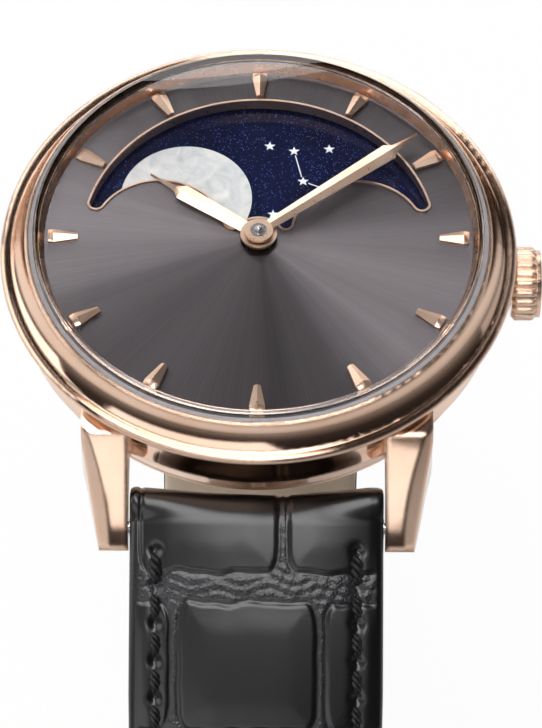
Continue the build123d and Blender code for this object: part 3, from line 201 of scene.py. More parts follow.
def rays_from_axis(tree, width_mm):
    """Coordinates that change only round the dial's axis, so that a pattern of them runs in rays.

    One unit is the given width at the dial's rim.
    """
    coords = add(tree, "ShaderNodeTexCoord").outputs["Object"]
    flat = add(tree, "ShaderNodeVectorMath", {0: coords, 1: (1.0, 1.0, 0.0)}, operation="MULTIPLY")
    unit = add(tree, "ShaderNodeVectorMath", {0: flat}, operation="NORMALIZE")
    return add(tree, "ShaderNodeVectorMath", {0: unit, "Scale": DIAL_R / width_mm}, operation="SCALE")


def sunburst_dial():
    """Slate grey lacquer over a brass blank brushed in rays 0.1 mm wide at the rim: it shines in two wedges,
    left and right, and stays dark between them."""
    material, tree, shader = surface("slate grey sunburst dial", "#746E71", 0.4, 1.0, Anisotropic=0.94)
    broad = add(tree, "ShaderNodeTexNoise",
                {"Vector": rays_from_axis(tree, 3.2), "Scale": 1.0, "Detail": 3.0, "Roughness": 0.5})
    fine = add(tree, "ShaderNodeTexNoise",
               {"Vector": rays_from_axis(tree, 0.1), "Scale": 1.0, "Detail": 5.0, "Roughness": 0.8})
    tone = add(tree, "ShaderNodeValToRGB", {"Fac": broad},
               stops=[(0.3, "#6D676A"), (0.52, "#746E71"), (0.72, "#7B7578")])
    streak = add(tree, "ShaderNodeValToRGB", {"Fac": fine}, stops=[(0.25, "#9A9A9A"), (0.75, "#FFFFFF")])
    add(tree, "ShaderNodeMix", {0: 0.5, 6: tone, 7: streak}, shader.inputs["Base Color"], 2,
        data_type="RGBA", blend_type="MULTIPLY")
    vary(tree, shader, fine, gloss=(0.31, 0.42), depth_mm=0.002)
    add(tree, "ShaderNodeTangent", to=shader.inputs["Tangent"], direction_type="RADIAL", axis="Z")
    return material


def aventurine():
    """Deep blue aventurine glass, polished: night blue with pale flecks. They are 0.06 mm across, coarser
    than real ones, so that they show."""
    material, tree, shader = surface("blue aventurine glass", "#080C24", 0.1, 0.0, Coat_Weight=0.2,
                                     Coat_Roughness=0.03)
    cloud = add(tree, "ShaderNodeValToRGB", {"Fac": clouds(tree, 4.0)},
                stops=[(0.3, "#070A1E"), (0.7, "#0E1536")])
    cells = add(tree, "ShaderNodeTexVoronoi", {"Vector": sized(tree, 0.1), "Scale": 1.0})
    spark = add(tree, "ShaderNodeTexWhiteNoise", {"Vector": cells.outputs["Position"]}, noise_dimensions="3D")
    near = add(tree, "ShaderNodeMath", {0: cells.outputs["Distance"], 1: 0.3}, operation="LESS_THAN")
    chosen = add(tree, "ShaderNodeMath", {0: spark, 1: 0.82}, operation="GREATER_THAN")
    fleck = add(tree, "ShaderNodeMath", {0: near, 1: chosen}, operation="MULTIPLY")
    glint = add(tree, "ShaderNodeMath", {0: fleck, 1: spark}, operation="MULTIPLY")
    add(tree, "ShaderNodeMix", {0: glint, 6: cloud, 7: linear("#5A6DA2")}, shader.inputs["Base Color"], 2,
        data_type="RGBA")
    vary(tree, shader, clouds(tree, 0.3), depth_mm=0.002)
    return material


def mother_of_pearl():
    """Mother-of-pearl, polished: cloudy grey and white layers about 1 to 2 mm wide under a clear gloss."""
    material, tree, shader = surface("mother-of-pearl", "#D3D3D1", 0.22, 0.0, Coat_Weight=0.6,
                                     Coat_Roughness=0.08, Sheen_Weight=0.25)
    vary(tree, shader, clouds(tree, 1.7, 8.0, 0.62, 1.2),
         [(0.3, "#B4B6B9"), (0.45, "#C6C7C8"), (0.58, "#D2D1CF"), (0.72, "#DEDCD9")], depth_mm=0.01)
    return material


def printed_silver():
    """Silver ink printed on the disc: matte and slightly grainy."""
    material, tree, shader = surface("silver print", "#E4E6EA", 0.42, 0.25)
    vary(tree, shader, clouds(tree, 0.2), [(0.3, "#D5D8DE"), (0.7, "#F2F3F5")])
    return material


def hardened_steel():
    """Hardened steel, ground and polished: grey, with soft streaks along X 1.1 mm long and 0.17 mm wide."""
    material, tree, shader = surface("hardened polished steel", "#A9A9AB", 0.22, 1.0)
    lines = clouds(tree, (1.11, 0.167, 0.167), 4.0, 0.65)
    vary(tree, shader, lines, [(0.3, "#A9A9AB"), (0.7, "#C9C9CB")], (0.154, 0.308), 0.001)
    return material


def striped_plate():
    """Nickel plated bridges, ground in broad stripes 3.9 mm apart and grained across them: each stripe runs
    from bright to dull."""
    material, tree, shader = surface("nickel plate with ground stripes", "#B9B7B2", 0.3, 1.0)
    # The wave repeats once a unit at this scale
    stripes = add(tree, "ShaderNodeTexWave",
                  {"Vector": sized(tree, 3.927, turn=0.7), "Scale": math.pi / 10, "Distortion": 0.0},
                  wave_profile="SAW").outputs["Fac"]
    grain = clouds(tree, 0.15, 4.0, 0.7)
    vary(tree, shader, stripes, gloss=(0.2, 0.42))
    vary(tree, shader, grain, [(0.3, "#AFADA8"), (0.7, "#C8C6C1")])
    steps = add(tree, "ShaderNodeBump", {"Height": stripes, "Distance": 0.02 * MM, "Strength": 1.0})
    add(tree, "ShaderNodeBump", {"Height": grain, "Distance": 0.002 * MM, "Strength": 1.0, "Normal": steps},
        shader.inputs["Normal"])
    return material


def leather(name, tones, roughness, grain_mm, depth_mm, coat):
    """Dyed hide, waxed: fine grain and a clouded dye; the folds between its scales are paler and wrinkled."""
    material, tree, shader = surface(name, tones[1], roughness, 0.0, Coat_Weight=coat, Coat_Roughness=0.22)
    cloud = clouds(tree, 5.0, 5.0, 0.6)
    grain = clouds(tree, grain_mm, 6.0, 0.7)
    cells = add(tree, "ShaderNodeTexVoronoi", {"Vector": sized(tree, grain_mm * 2.2), "Scale": 1.0},
                feature="DISTANCE_TO_EDGE")
    dye = add(tree, "ShaderNodeValToRGB", {"Fac": cloud}, stops=list(zip((0.3, 0.55, 0.8), tones)))
    fold = add(tree, "ShaderNodeAttribute", attribute_name="fold").outputs["Fac"]
    lift = add(tree, "ShaderNodeMath", {0: fold, 1: grain}, operation="MULTIPLY")
    add(tree, "ShaderNodeMix", {0: lift, 6: dye, 7: linear(FOLD_TONE)}, shader.inputs["Base Color"], 2,
        data_type="RGBA")
    vary(tree, shader, grain, gloss=(roughness - 0.08, roughness + 0.12))
    wrinkle = add(tree, "ShaderNodeMath", {0: cells, 1: fold}, operation="MULTIPLY")
    folds = add(tree, "ShaderNodeBump", {"Height": wrinkle, "Distance": depth_mm * 6 * MM, "Strength": 1.0})
    add(tree, "ShaderNodeBump",
        {"Height": grain, "Distance": depth_mm * MM, "Strength": 0.6, "Normal": folds},
        shader.inputs["Normal"])
    return material


def clouded(name, low, high, roughness, metallic, size_mm, depth_mm, **sockets):
    """Small part's finish: its tone and gloss change in clouds, over a fine relief."""
    material, tree, shader = surface(name, low, roughness, metallic, **sockets)
    cloud = clouds(tree, size_mm, 5.0, 0.6)
    vary(tree, shader, cloud, [(0.3, low), (0.7, high)], (roughness * 0.75, roughness * 1.3), depth_mm)
    return material


def gilt_on_arbor():
    """Gilt brass wheel on a polished steel arbor 1 mm across: warm yellow with a grey pin in its middle."""
    material, tree, shader = surface("gilt wheel on steel arbor", "#D2AE67", 0.24, 1.0)
    flat = add(tree, "ShaderNodeVectorMath", {0: sized(tree, 1.0), 1: (1.0, 1.0, 0.0)}, operation="MULTIPLY")
    radius = add(tree, "ShaderNodeVectorMath", {0: flat}, operation="LENGTH").outputs["Value"]
    inside = add(tree, "ShaderNodeMath", {0: radius, 1: 0.5}, operation="LESS_THAN")
    add(tree, "ShaderNodeMix", {0: inside, 6: linear("#D2AE67"), 7: linear("#BDBDBF")},
        shader.inputs["Base Color"], 2, data_type="RGBA")
    vary(tree, shader, clouds(tree, 0.8), gloss=(0.18, 0.312), depth_mm=0.001)
    return material


gold = polished_gold()
trim_gold = faceted_gold()
crystal_glass = glass("domed crystal glass", "#FFFFFF")
ruby = glass("synthetic ruby", "#C21B3C")
steel = hardened_steel()
# Screws heated until an oxide film turns them blue, then polished
blued = clouded("heat blued steel", "#1B2E6E", "#2F4C9C", 0.18, 1.0, 1.0, 0.001)
# Brass wheels with a thin gold plating: warm and softly shiny
gilt = clouded("gilt brass", "#C9A45A", "#DDBB74", 0.26, 1.0, 0.8, 0.001)
arbor_gilt = gilt_on_arbor()
# Brass as the lathe leaves it: yellow and duller than the wheels
holder_brass = clouded("machined brass", "#A98F55", "#BFA468", 0.34, 1.0, 0.6, 0.003)
# Satin rose gold that carries the case's colour down to the dial
flange_finish = clouded("rose gold satin flange", "#D9B39B", "#E6C3AD", 0.26, 1.0, 1.5, 0.0005)
# Moulded nylon, half clear: a milky line under the crystal
seal_nylon = clouded("clear nylon seal", "#B9B2B4", "#C9C3C5", 0.35, 0.0, 0.5, 0.002, Transmission_Weight=0.5)
# Moulded rubber: black and dull
nitrile = clouded("black nitrile rubber", "#0C0C0C", "#161616", 0.6, 0.0, 0.3, 0.01)
plate_finish = striped_plate()
dial_finish = sunburst_dial()
moon_sky = aventurine()
pearl = mother_of_pearl()
silver = printed_silver()
strap_hide = leather("alligator grained calf, black", ("#050505", "#080708", "#0D0C0D"), 0.34, 0.14, 0.012,
                     0.55)
lining_hide = leather("smooth calf lining, natural", ("#CDBBA6", "#D8C8B5", "#E2D5C5"), 0.6, 0.22, 0.02, 0.0)
# Painted and burnished edge: black with a low sheen
edge_paint = clouded("black edge paint", "#0E0D0E", "#1A191A", 0.4, 0.0, 0.6, 0.008)
# Waxed thread: black with a grey shine along its strands
thread = clouded("waxed black linen thread", "#0B0A0B", "#211F21", 0.5, 0.0, 0.12, 0.02)

FINISHES = {
    "bezel": gold, "case_middle": gold, "caseback_ring": gold, "crown": gold, "buckle_frame": gold,
    "buckle_tongue": gold, "aperture_frame": trim_gold, "hour_hand": trim_gold, "minute_hand": trim_gold,
    "hour_markers": trim_gold, "crystal": crystal_glass, "caseback_glass": crystal_glass, "jewels": ruby,
    "dial": dial_finish, "moon_disc": moon_sky, "moons": pearl, "stars": silver, "flange_ring": flange_finish,
    "crystal_gasket": seal_nylon, "caseback_gasket": nitrile, "crown_gasket": nitrile,
    "movement_holder": holder_brass, "movement_screws": blued, "main_plate": plate_finish,
    "barrel_bridge": plate_finish, "train_bridge": plate_finish, "balance_cock": plate_finish,
    "pallet_bridge": plate_finish, "centre_wheel": arbor_gilt,
}
GILT = ("hour_wheel", "minute_wheel", "day_wheel", "moon_setting_wheel", "moon_ring_gear",
        "third_wheel", "fourth_wheel", "balance_wheel", "barrel")
for node_name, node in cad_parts.items():
    finish = gilt if node_name in GILT else FINISHES.get(node_name, steel)
    node.data.materials.clear()
    node.data.materials.append(finish)


# Meshes; the second material of a strap piece is its edge paint
EDGE = 1


def new_piece(name, bm, materials, body, smooth=True):
    """Piece that rides on a body of the frame and wears the finishes given to it."""
    bm.normal_update()
    mesh = bpy.data.meshes.new(name)
    bm.to_mesh(mesh)
    bm.free()
    for material in materials:
        mesh.materials.append(material)
    for polygon in mesh.polygons:
        polygon.use_smooth = smooth
    piece = bpy.data.objects.new(name, mesh)
    bpy.context.scene.collection.objects.link(piece)
    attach(piece, body)
    return piece


def smoothstep(value, low=0.0, high=1.0):
    """Smooth change from 0 to 1 between two values."""
    t = min(1.0, max(0.0, (value - low) / (high - low)))
    return t * t * (3 - 2 * t)


class Path:
    """Line of a strap half from its lug bar, seen from the side; distances are in millimetres."""

    def __init__(self, side, arcs, length):
        self.side = side
        self.length = length
        self.runs = []
        point = (BAR_Y, BAR_Z)
        done = 0.0
        for radius, start, end in arcs:
            run = radius * math.radians(end - start)
            self.runs.append((done, radius, start, point))
            rise = math.cos(math.radians(start)) - math.cos(math.radians(end))
            out = math.sin(math.radians(end)) - math.sin(math.radians(start))
            point = (point[0] + radius * out, point[1] - radius * rise)
            done += run
        self.runs.append((done, 0.0, arcs[-1][2], point))

    def frame(self, s):
        """Origin, outward normal and forward direction, as (y, z) pairs."""
        done, radius, start, point = [run for run in self.runs if run[0] <= max(s, 0.0)][-1]
        ahead = max(s, 0.0) - done
        angle = math.radians(start)
        if radius == 0.0:
            out, z = point[0] + ahead * math.cos(angle), point[1] - ahead * math.sin(angle)
        else:
            end = angle + ahead / radius
            out = point[0] + radius * (math.sin(end) - math.sin(angle))
            z = point[1] - radius * (math.cos(angle) - math.cos(end))
            angle = end
        normal = (self.side * math.sin(angle), math.cos(angle))
        forward = (self.side * math.cos(angle), -math.sin(angle))
        return (self.side * out, z), normal, forward


def wrapped(frame_at, turn):
    """Origin and normal of a frame of the path, turned about its origin, back round the bar."""
    origin, normal, forward = frame_at
    c, s = math.cos(turn), math.sin(turn)
    return origin, (normal[0] * c - forward[0] * s, normal[1] * c - forward[1] * s)


long_path = Path(-1, LONG_ARCS, LONG_LEN)
short_path = Path(1, SHORT_ARCS, SHORT_LEN)


def half_width(s, length):
    """Half of a strap half's width: it tapers past the pad, and the long half ends in a round tip."""
    fade = min(1.0, max(0.0, (s - PAD_START) / (length * TAPER_SHARE)))
    half = (WIDTH + (TAIL_WIDTH - WIDTH) * fade) / 2
    if length == LONG_LEN and s > length - TAIL_WIDTH / 2:
        ahead = s - (length - TAIL_WIDTH / 2)
        half = math.sqrt(max(TIP_HALF ** 2, (TAIL_WIDTH / 2) ** 2 - ahead ** 2))
    return half


def pad(s):
    """Share of the padding left at a place along the strap."""
    return 1 - smoothstep(s, PAD_START, PAD_START + PAD_FADE)


# Scales of the alligator grain. A row runs from its start to its end along the strap, and is parted by
# folds at the places given across it.
LONG_FIRST_ROWS = [(-9.0, 4.4, [-8.6, 1.9]), (4.4, 15.4, [-5.85, 4.65]), (15.4, 25.0, [-5.9, -0.6, 5.1])]
SHORT_FIRST_ROWS = [(-9.0, 6.9, [-2.2, 8.3]), (6.9, 16.8, [-5.3, 5.6]), (16.8, 25.6, [-5.8, 0.8, 5.4])]
ROW_LEN = 9.0
ROW_SHRINK = 0.045
LEAST_ROW = 5.0
ROW_SPREAD = 0.5
ROWS_PAST = 8.0
SIDE_FOLDS = (-5.6, 5.0)
FOLD_SPREAD = 0.7
SIDE_SHARE = 0.3
ROW_BAND = 1.0
RIDGE_HALF = 0.27
FOLD_WANDER = 0.35
RIDGE_WANDER = 0.14
FLARE = 0.7
FLARE_REACH = 0.5
FOLD_DEPTH = 0.16
FOLD_WALL = 0.28
FOLD_FILL = 0.11
FILL_EDGE = 0.22
SCALE_RISE = 0.07
SCALE_REACH = 2.4
WRINKLE = 0.03
CROSS_WRINKLE = 0.02
WRINKLE_FADE = (0.1, 0.4)
TONE_FADE = 0.2

# Rounded edges, the hollow head and the face's rise towards its middle
CROWN_POWER = 3.0
ROUND_R = 0.55
ROUND_DROP = 0.4
RELIEF_RIM = (0.3, 1.1)
HOLLOW_LIFT = 1.5
HOLLOW_POWER = 2.4
HOLLOW_FROM = (0.15, 0.95)
HOLLOW_TO = (1.9, 2.9)
TIP_HALF = 0.05
LONG_END = LONG_LEN - 0.02

# The lining: how far it stands in from the leather, and its own rounded edges
LINING_FROM = 0.3
LINING_IN = 0.1
LINING_SHORT = 0.06
LINING_FILL = 0.5
LINING_ROUND = 0.6
LINING_DROP = 0.25
GLUE_GAP = 0.01

# Seams of three-strand thread, each stitch in its own channel between two holes
SEAM_IN = 1.9
SEAM_START = 3.0
SHORT_SEAM_END = 66.0
SEAM_STEP = 0.1
SEAM_FADE = (0.8, 2.0)
TIP_STEPS = 60
CHANNEL_DEPTH = 0.14
CHANNEL_HALF = 0.42
PIT_DEPTH = 0.24
PIT_HALF = 0.35
STITCH_PITCH = 2.6
STITCH_LEN = 1.95
STITCH_SLANT = 0.1
STITCH_LIE = 0.06
FIRST_STITCH = 1.28
STITCH_DIVE = 0.5
STITCH_ARCH = 0.6
STRANDS = 3
STRAND_R = 0.2
STRAND_OUT = 0.19
STRAND_TURNS = 1.2
STRAND_STEPS = 20
STRAND_SIDES = 8
END_SPREAD = 0.4
END_THIN = 0.5


def scale_rows(length, first):
    """Rows of scales: the first ones follow the photograph, the others shrink towards the end."""
    rows = list(first)
    s = rows[-1][1]
    index = 0
    while s < length + ROWS_PAST:
        size = max(LEAST_ROW, ROW_LEN - s * ROW_SHRINK) + rng.uniform(-ROW_SPREAD, ROW_SPREAD)
        offset = rng.uniform(-FOLD_SPREAD, FOLD_SPREAD)
        ridges = [side + offset * SIDE_SHARE for side in SIDE_FOLDS]
        if index % 2 == 0:
            ridges.insert(1, offset)
        rows.append((s, s + size, ridges))
        s += size
        index += 1
    return rows


long_rows = scale_rows(LONG_LEN, LONG_FIRST_ROWS)
short_rows = scale_rows(SHORT_LEN, SHORT_FIRST_ROWS)
wobble = [(rng.uniform(0.25, 1.6), rng.uniform(0, 6.28), rng.uniform(0.3, 1.0)) for _ in range(9)]


def wave_of(value, scale, shift):
    """Uneven wave, the sum of random ones, that makes the folds wander."""
    total = sum(amount * math.sin(value * rate * scale + phase + shift) for rate, phase, amount in wobble)
    return total / len(wobble)


def relief(x, s, rows, taper):
    """Height of the leather's face over its plain form, and how far it lies in a fold between scales."""
    x = x / taper
    s = s + FOLD_WANDER * wave_of(x, 1.0, 0.0)
    start, end, ridges = ([row for row in rows if row[0] <= s] or rows[:1])[-1]
    band = min(s - start, end - s) - ROW_BAND * (1 + FOLD_WANDER * wave_of(x, 2.1, start))
    nearest = min(ridges, key=lambda place_x: abs(x - place_x))
    flare = FLARE * math.exp(-max(0.0, band) / FLARE_REACH)
    ridge = abs(x - nearest - RIDGE_WANDER * wave_of(s, 1.6, nearest)) - RIDGE_HALF - flare
    inside = min(band, ridge)
    if inside > 0:
        wall = FOLD_DEPTH * smoothstep(inside, 0.0, FOLD_WALL)
        return -FOLD_DEPTH + wall + SCALE_RISE * smoothstep(inside, 0.0, SCALE_REACH), 0.0
    wrinkle = WRINKLE * math.sin(s * 9 + 2.5 * math.sin(x * 1.7)) + CROSS_WRINKLE * math.sin(x * 7.3 + s * 4)
    fill = FOLD_FILL * smoothstep(-inside, 0.0, FILL_EDGE)
    height = -FOLD_DEPTH + fill + wrinkle * smoothstep(-inside, *WRINKLE_FADE)
    return height, smoothstep(-inside, 0.0, TONE_FADE)


def stitch_dip(x, s, length):
    """Channel and holes that the seam pulls into the leather."""
    off = abs(abs(x) - (half_width(s, length) - SEAM_IN))
    phase = (s - SEAM_START) / STITCH_PITCH % 1
    pit = math.exp(-((phase - 0.5) * STITCH_PITCH / PIT_HALF) ** 2)
    depth = (CHANNEL_DEPTH + PIT_DEPTH * pit) * math.exp(-(off / CHANNEL_HALF) ** 2)
    return -depth * smoothstep(s, *SEAM_FADE)


def outer_face(x, half, s, length, rows):
    """Height of the outer face at a place across the strap, and its fold value."""
    top = THIN + (NOSE_R - THIN) * pad(s)
    edge = THIN_EDGE + (PAD_EDGE - THIN_EDGE) * pad(s)
    height = edge + (top - edge) * (1 - (abs(x) / half) ** CROWN_POWER)
    rim = half - abs(x)
    if rim < ROUND_R:
        height -= ROUND_DROP * (1 - math.sqrt(max(0.0, 1 - (1 - rim / ROUND_R) ** 2)))
    fade = smoothstep(rim, *RELIEF_RIM)
    rise, fold = relief(x, s, rows, half * 2 / WIDTH)
    return height + rise * fade + stitch_dip(x, s, length), fold * fade


def head_lift(x, half, turn):
    """Extra height at the sides of the head, which is cut hollow to follow the round case."""
    hollow = smoothstep(turn, *HOLLOW_FROM) * (1 - smoothstep(turn, *HOLLOW_TO))
    return HOLLOW_LIFT * (abs(x) / half) ** HOLLOW_POWER * hollow


def tube(bm, rings, painted=(), folds=()):
    """Joins rings of points into a closed band with flat ends.

    Where sides are named as painted, they and the ends wear the piece's second material.
    """
    layer = bm.verts.layers.float.get("fold") or bm.verts.layers.float.new("fold")
    made = [[bm.verts.new(point) for point in ring] for ring in rings]
    for ring, values in zip(made, folds):
        for vert, value in zip(ring, values):
            vert[layer] = value
    count = len(made[0])
    for first, second in zip(made, made[1:]):
        for index in range(count):
            following = (index + 1) % count
            face = bm.faces.new((first[index], first[following], second[following], second[index]))
            face.material_index = EDGE if index in painted else 0
    for ring in (made[0], made[-1]):
        bm.faces.new(ring).material_index = EDGE if painted else 0


# How finely the strap's faces are cut up
ACROSS = 140
LINING_ACROSS = 24
CROWDING = math.pi / 2 * 0.93
FINE_STEP = 0.16
FINE_END = 16.0
STEP = 0.35
HEAD_STEPS = 40
NOSE_STEPS = 16
PUNCH_SIDES = 32
PUNCH_LEN = 8.0


def across(low, high, count):
    """Places across the strap, closer together at its two edges."""
    half = (high - low) / 2
    middle = (high + low) / 2
    shares = [math.sin((2 * index / count - 1) * CROWDING) / math.sin(CROWDING) for index in range(count + 1)]
    return [middle + half * share for share in shares]


def face_ring(frame_at, xs, tops, bottoms):
    """Ring of points: the outer face from left to right, then the inner face back."""
    origin, normal = frame_at[:2]
    points = [(x, top) for x, top in zip(xs, tops)] + [(x, low) for x, low in zip(xs[::-1], bottoms[::-1])]
    return [Vector((x, origin[0] + h * normal[0], origin[1] + h * normal[1])) * MM for x, h in points]


def stations(start, end):
    """Places along a strap half: close together where the photograph shows it, wider apart after that."""
    places = []
    s = start
    while s < end - FINE_STEP:
        places.append(s)
        s += FINE_STEP if s < FINE_END else STEP
    return places + [end]


# Left and right end of a row of points across the strap, from its half width there
def whole(half):
    return -half, half


def left_of_slot(half):
    return -half, -SLOT_HALF


def right_of_slot(half):
    return SLOT_HALF, half


def upper_rings(path, rows, end, limits=whole):
    """Rings of the upper leather: wrapped round the lug bar or, beside the slot, round the buckle bar."""
    rings, folds = [], []
    length = path.length
    beside_slot = limits is not whole
    count = ACROSS // 2 if beside_slot else ACROSS

    def ring(frame_at, xs, faces, low):
        rings.append(face_ring(frame_at, xs, [height for height, _ in faces], [low] * len(xs)))
        folds.append([fold for _, fold in faces] + [0.0] * len(xs))

    if not beside_slot:
        half = half_width(0, length)
        xs = across(*limits(half), count)
        for index in range(HEAD_STEPS):
            turn = math.pi * (1 - index / HEAD_STEPS)
            faces = [outer_face(x, half, -NOSE_R * turn, length, rows) for x in xs]
            faces = [(height + head_lift(x, half, turn), fold) for x, (height, fold) in zip(xs, faces)]
            ring(wrapped(path.frame(0), turn), xs, faces, BAR_HOLE_R)
    for s in stations(SLOT_START if beside_slot else 0.0, end):
        half = half_width(s, length)
        xs = across(*limits(half), count)
        faces = [outer_face(x, half, s, length, rows) for x in xs]
        from_bar = end - s if beside_slot else s
        ring(path.frame(s), xs, faces, BAR_HOLE_R * max(0.0, 1 - from_bar / BAR_HOLE_R) + GLUE_GAP)
    if beside_slot:
        xs = across(*limits(TAIL_WIDTH / 2), count)
        for index in range(1, NOSE_STEPS + 1):
            share = index / NOSE_STEPS
            rim = THIN + (BUCKLE_NOSE_R - THIN) * smoothstep(share)
            ring(wrapped(path.frame(end), -math.pi * share), xs, [(rim, 0.0)] * len(xs), BAR_HOLE_R)
    return rings, folds


def both_sides(count):
    """The two sides of a ring between its outer and its inner face."""
    return count, 2 * count + 1


def cut_holes(piece):
    """Punches the buckle holes through a piece of the long half."""
    bm = bmesh.new()
    for s in HOLES:
        origin, normal = long_path.frame(s)[:2]
        axis = Vector((0, normal[0], normal[1]))
        turn = axis.to_track_quat("Z", "X").to_matrix().to_4x4()
        spot = Matrix.Translation(Vector((0, origin[0], origin[1])) * MM)
        bmesh.ops.create_cone(bm, cap_ends=True, segments=PUNCH_SIDES, radius1=HOLE_R * MM,
                              radius2=HOLE_R * MM, depth=PUNCH_LEN * MM, matrix=spot @ turn)
    mesh = bpy.data.meshes.new("punch")
    bm.to_mesh(mesh)
    bm.free()
    punch = bpy.data.objects.new("punch", mesh)
    bpy.context.scene.collection.objects.link(punch)
    cutter = piece.modifiers.new("holes", "BOOLEAN")
    cutter.operation = "DIFFERENCE"
    cutter.solver = "EXACT"
    cutter.object = punch
    bpy.context.view_layer.update()
    graph = bpy.context.evaluated_depsgraph_get()
    result = bpy.data.meshes.new_from_object(piece.evaluated_get(graph))
    piece.modifiers.clear()
    piece.data = result
    bpy.data.objects.remove(punch)


def make_upper(name, path, rows, end, body, node, slotted):
    """Grained leather of a strap half, in two tongues beside the buckle's slot if it has one."""
    bm = bmesh.new()
    rings, folds = upper_rings(path, rows, end)
    tube(bm, rings, both_sides(ACROSS), folds)
    if slotted:
        for limits in (left_of_slot, right_of_slot):
            rings, folds = upper_rings(path, rows, path.length, limits)
            tube(bm, rings, both_sides(ACROSS // 2), folds)
    piece = new_piece(name, bm, [strap_hide, edge_paint], body)
    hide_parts(node)
    return piece


def lining_depth(x, s, half):
    """How far the lining's wrist side lies inside the strap's line: it fills the head, with round edges."""
    fade = smoothstep(s, LINING_START, LINING_START + LINING_FADE)
    depth = LINING_HEAD + (LINING - LINING_HEAD) * fade + LINING_FILL * max(0.0, 1 - s / LINING_START)
    rim = min(1.0, (half - abs(x)) / LINING_ROUND)
    return depth - LINING_DROP * (1 - math.sqrt(max(0.0, 1 - (1 - rim) ** 2)))


def make_lining(name, path, end, body, node, slotted):
    """Smooth lining of a strap half, on the side of the wrist."""
    bm = bmesh.new()
    parts = [(LINING_FROM, end, whole)]
    if slotted:
        stop = path.length - BUCKLE_NOSE_R - LINING_SHORT
        parts += [(end, stop, left_of_slot), (end, stop, right_of_slot)]
    for start, stop, limits in parts:
        rings = []
        steps = max(2, round((stop - start) / (2 * STEP)))
        for index in range(steps + 1):
            s = start + (stop - start) * index / steps
            half = half_width(s, path.length) - LINING_IN
            top = -BAR_HOLE_R * max(0.0, 1 - s / BAR_HOLE_R) - GLUE_GAP
            xs = across(*limits(half), LINING_ACROSS)
            lows = [-lining_depth(x, s, half) for x in xs]
            rings.append(face_ring(path.frame(s), xs, [top] * len(xs), lows))
        tube(bm, rings, both_sides(LINING_ACROSS))
    piece = new_piece(name, bm, [lining_hide, edge_paint], body)
    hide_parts(node)
    return piece


long_upper = make_upper("long_strap_leather", long_path, long_rows, LONG_END, "strap_long",
                        "strap_long_upper", False)
long_lining = make_lining("long_strap_lining", long_path, LONG_END, "strap_long", "strap_long_lining", False)
cut_holes(long_upper)
cut_holes(long_lining)
make_upper("short_strap_leather", short_path, short_rows, SLOT_START, "strap_short",
           "strap_short_upper", True)
make_lining("short_strap_lining", short_path, SLOT_START, "strap_short", "strap_short_lining", True)


def seam_lines(length, end, round_tip):
    """Places (x, s) down each side of the strap, and on to the middle of the tail's tip if asked."""
    right = []
    s = SEAM_START
    while s <= end:
        right.append((half_width(s, length) - SEAM_IN, s))
        s += SEAM_STEP
    if round_tip:
        radius = TAIL_WIDTH / 2 - SEAM_IN
        centre = length - TAIL_WIDTH / 2
        turns = [math.pi * index / (2 * TIP_STEPS) for index in range(TIP_STEPS + 1)]
        right = [place for place in right if place[1] <= centre]
        right += [(radius * math.cos(turn), centre + radius * math.sin(turn)) for turn in turns]
    return right, [(-x, s) for x, s in right]


def stitch(bm, path, rows, x, s, turn, size):
    """Thread of twisted strands that dives into the leather at both ends."""
    origin, normal, forward = path.frame(s)
    along = Vector((math.sin(turn), forward[0] * math.cos(turn), forward[1] * math.cos(turn)))
    up = Vector((0, normal[0], normal[1]))
    side = along.cross(up)
    base, _ = outer_face(x, half_width(s, path.length), s, path.length, rows)
    centre = Vector((x, origin[0], origin[1])) + up * (base + STITCH_LIE)
    angles = [2 * math.pi * step / STRAND_SIDES for step in range(STRAND_SIDES)]
    for strand in range(STRANDS):
        rings = []
        for index in range(STRAND_STEPS + 1):
            t = index / STRAND_STEPS
            bend = math.sin(math.pi * t) ** STITCH_ARCH
            twist = 2 * math.pi * (strand / STRANDS + STRAND_TURNS * t)
            spread = STRAND_OUT * size * (END_SPREAD + (1 - END_SPREAD) * bend)
            radius = STRAND_R * size * (END_THIN + (1 - END_THIN) * bend)
            middle = centre + along * (STITCH_LEN * size * (t - 0.5)) + up * STITCH_DIVE * (bend - 1) * size
            middle += (side * math.cos(twist) + up * math.sin(twist)) * spread
            rings.append([(middle + (side * math.cos(a) + up * math.sin(a)) * radius) * MM for a in angles])
        tube(bm, rings)


def make_seams(name, path, rows, end, round_tip, body):
    """The stitches of a strap half, down both of its sides; the first of each side is the largest."""
    bm = bmesh.new()
    for line in seam_lines(path.length, end, round_tip):
        travelled, due = 0.0, 0.0
        for (x0, s0), (x1, s1) in zip(line, line[1:]):
            if travelled >= due:
                turn = math.atan2(x1 - x0, s1 - s0) + STITCH_SLANT
                stitch(bm, path, rows, x0, s0, turn, FIRST_STITCH if due == 0.0 else 1.0)
                due += STITCH_PITCH
            travelled += math.hypot(x1 - x0, s1 - s0)
    new_piece(name, bm, [thread], body)


make_seams("long_strap_seam", long_path, long_rows, LONG_LEN, True, "strap_long")
make_seams("short_strap_seam", short_path, short_rows, SHORT_SEAM_END, False, "strap_short")

# Keepers: the strip's thickness, the loop's rounded corners, the strip's own rounded edges, and a line
# pressed along each edge, its place and half width as shares of the strip's half width
KEEPER_WALL = 0.9
KEEPER_CORNER = 1.3
CORNER_STEPS = 8
STRIP_ROUND = 0.3
PRESS_DEPTH = 0.09
PRESS_PLACE = 0.7
PRESS_HALF = 0.04


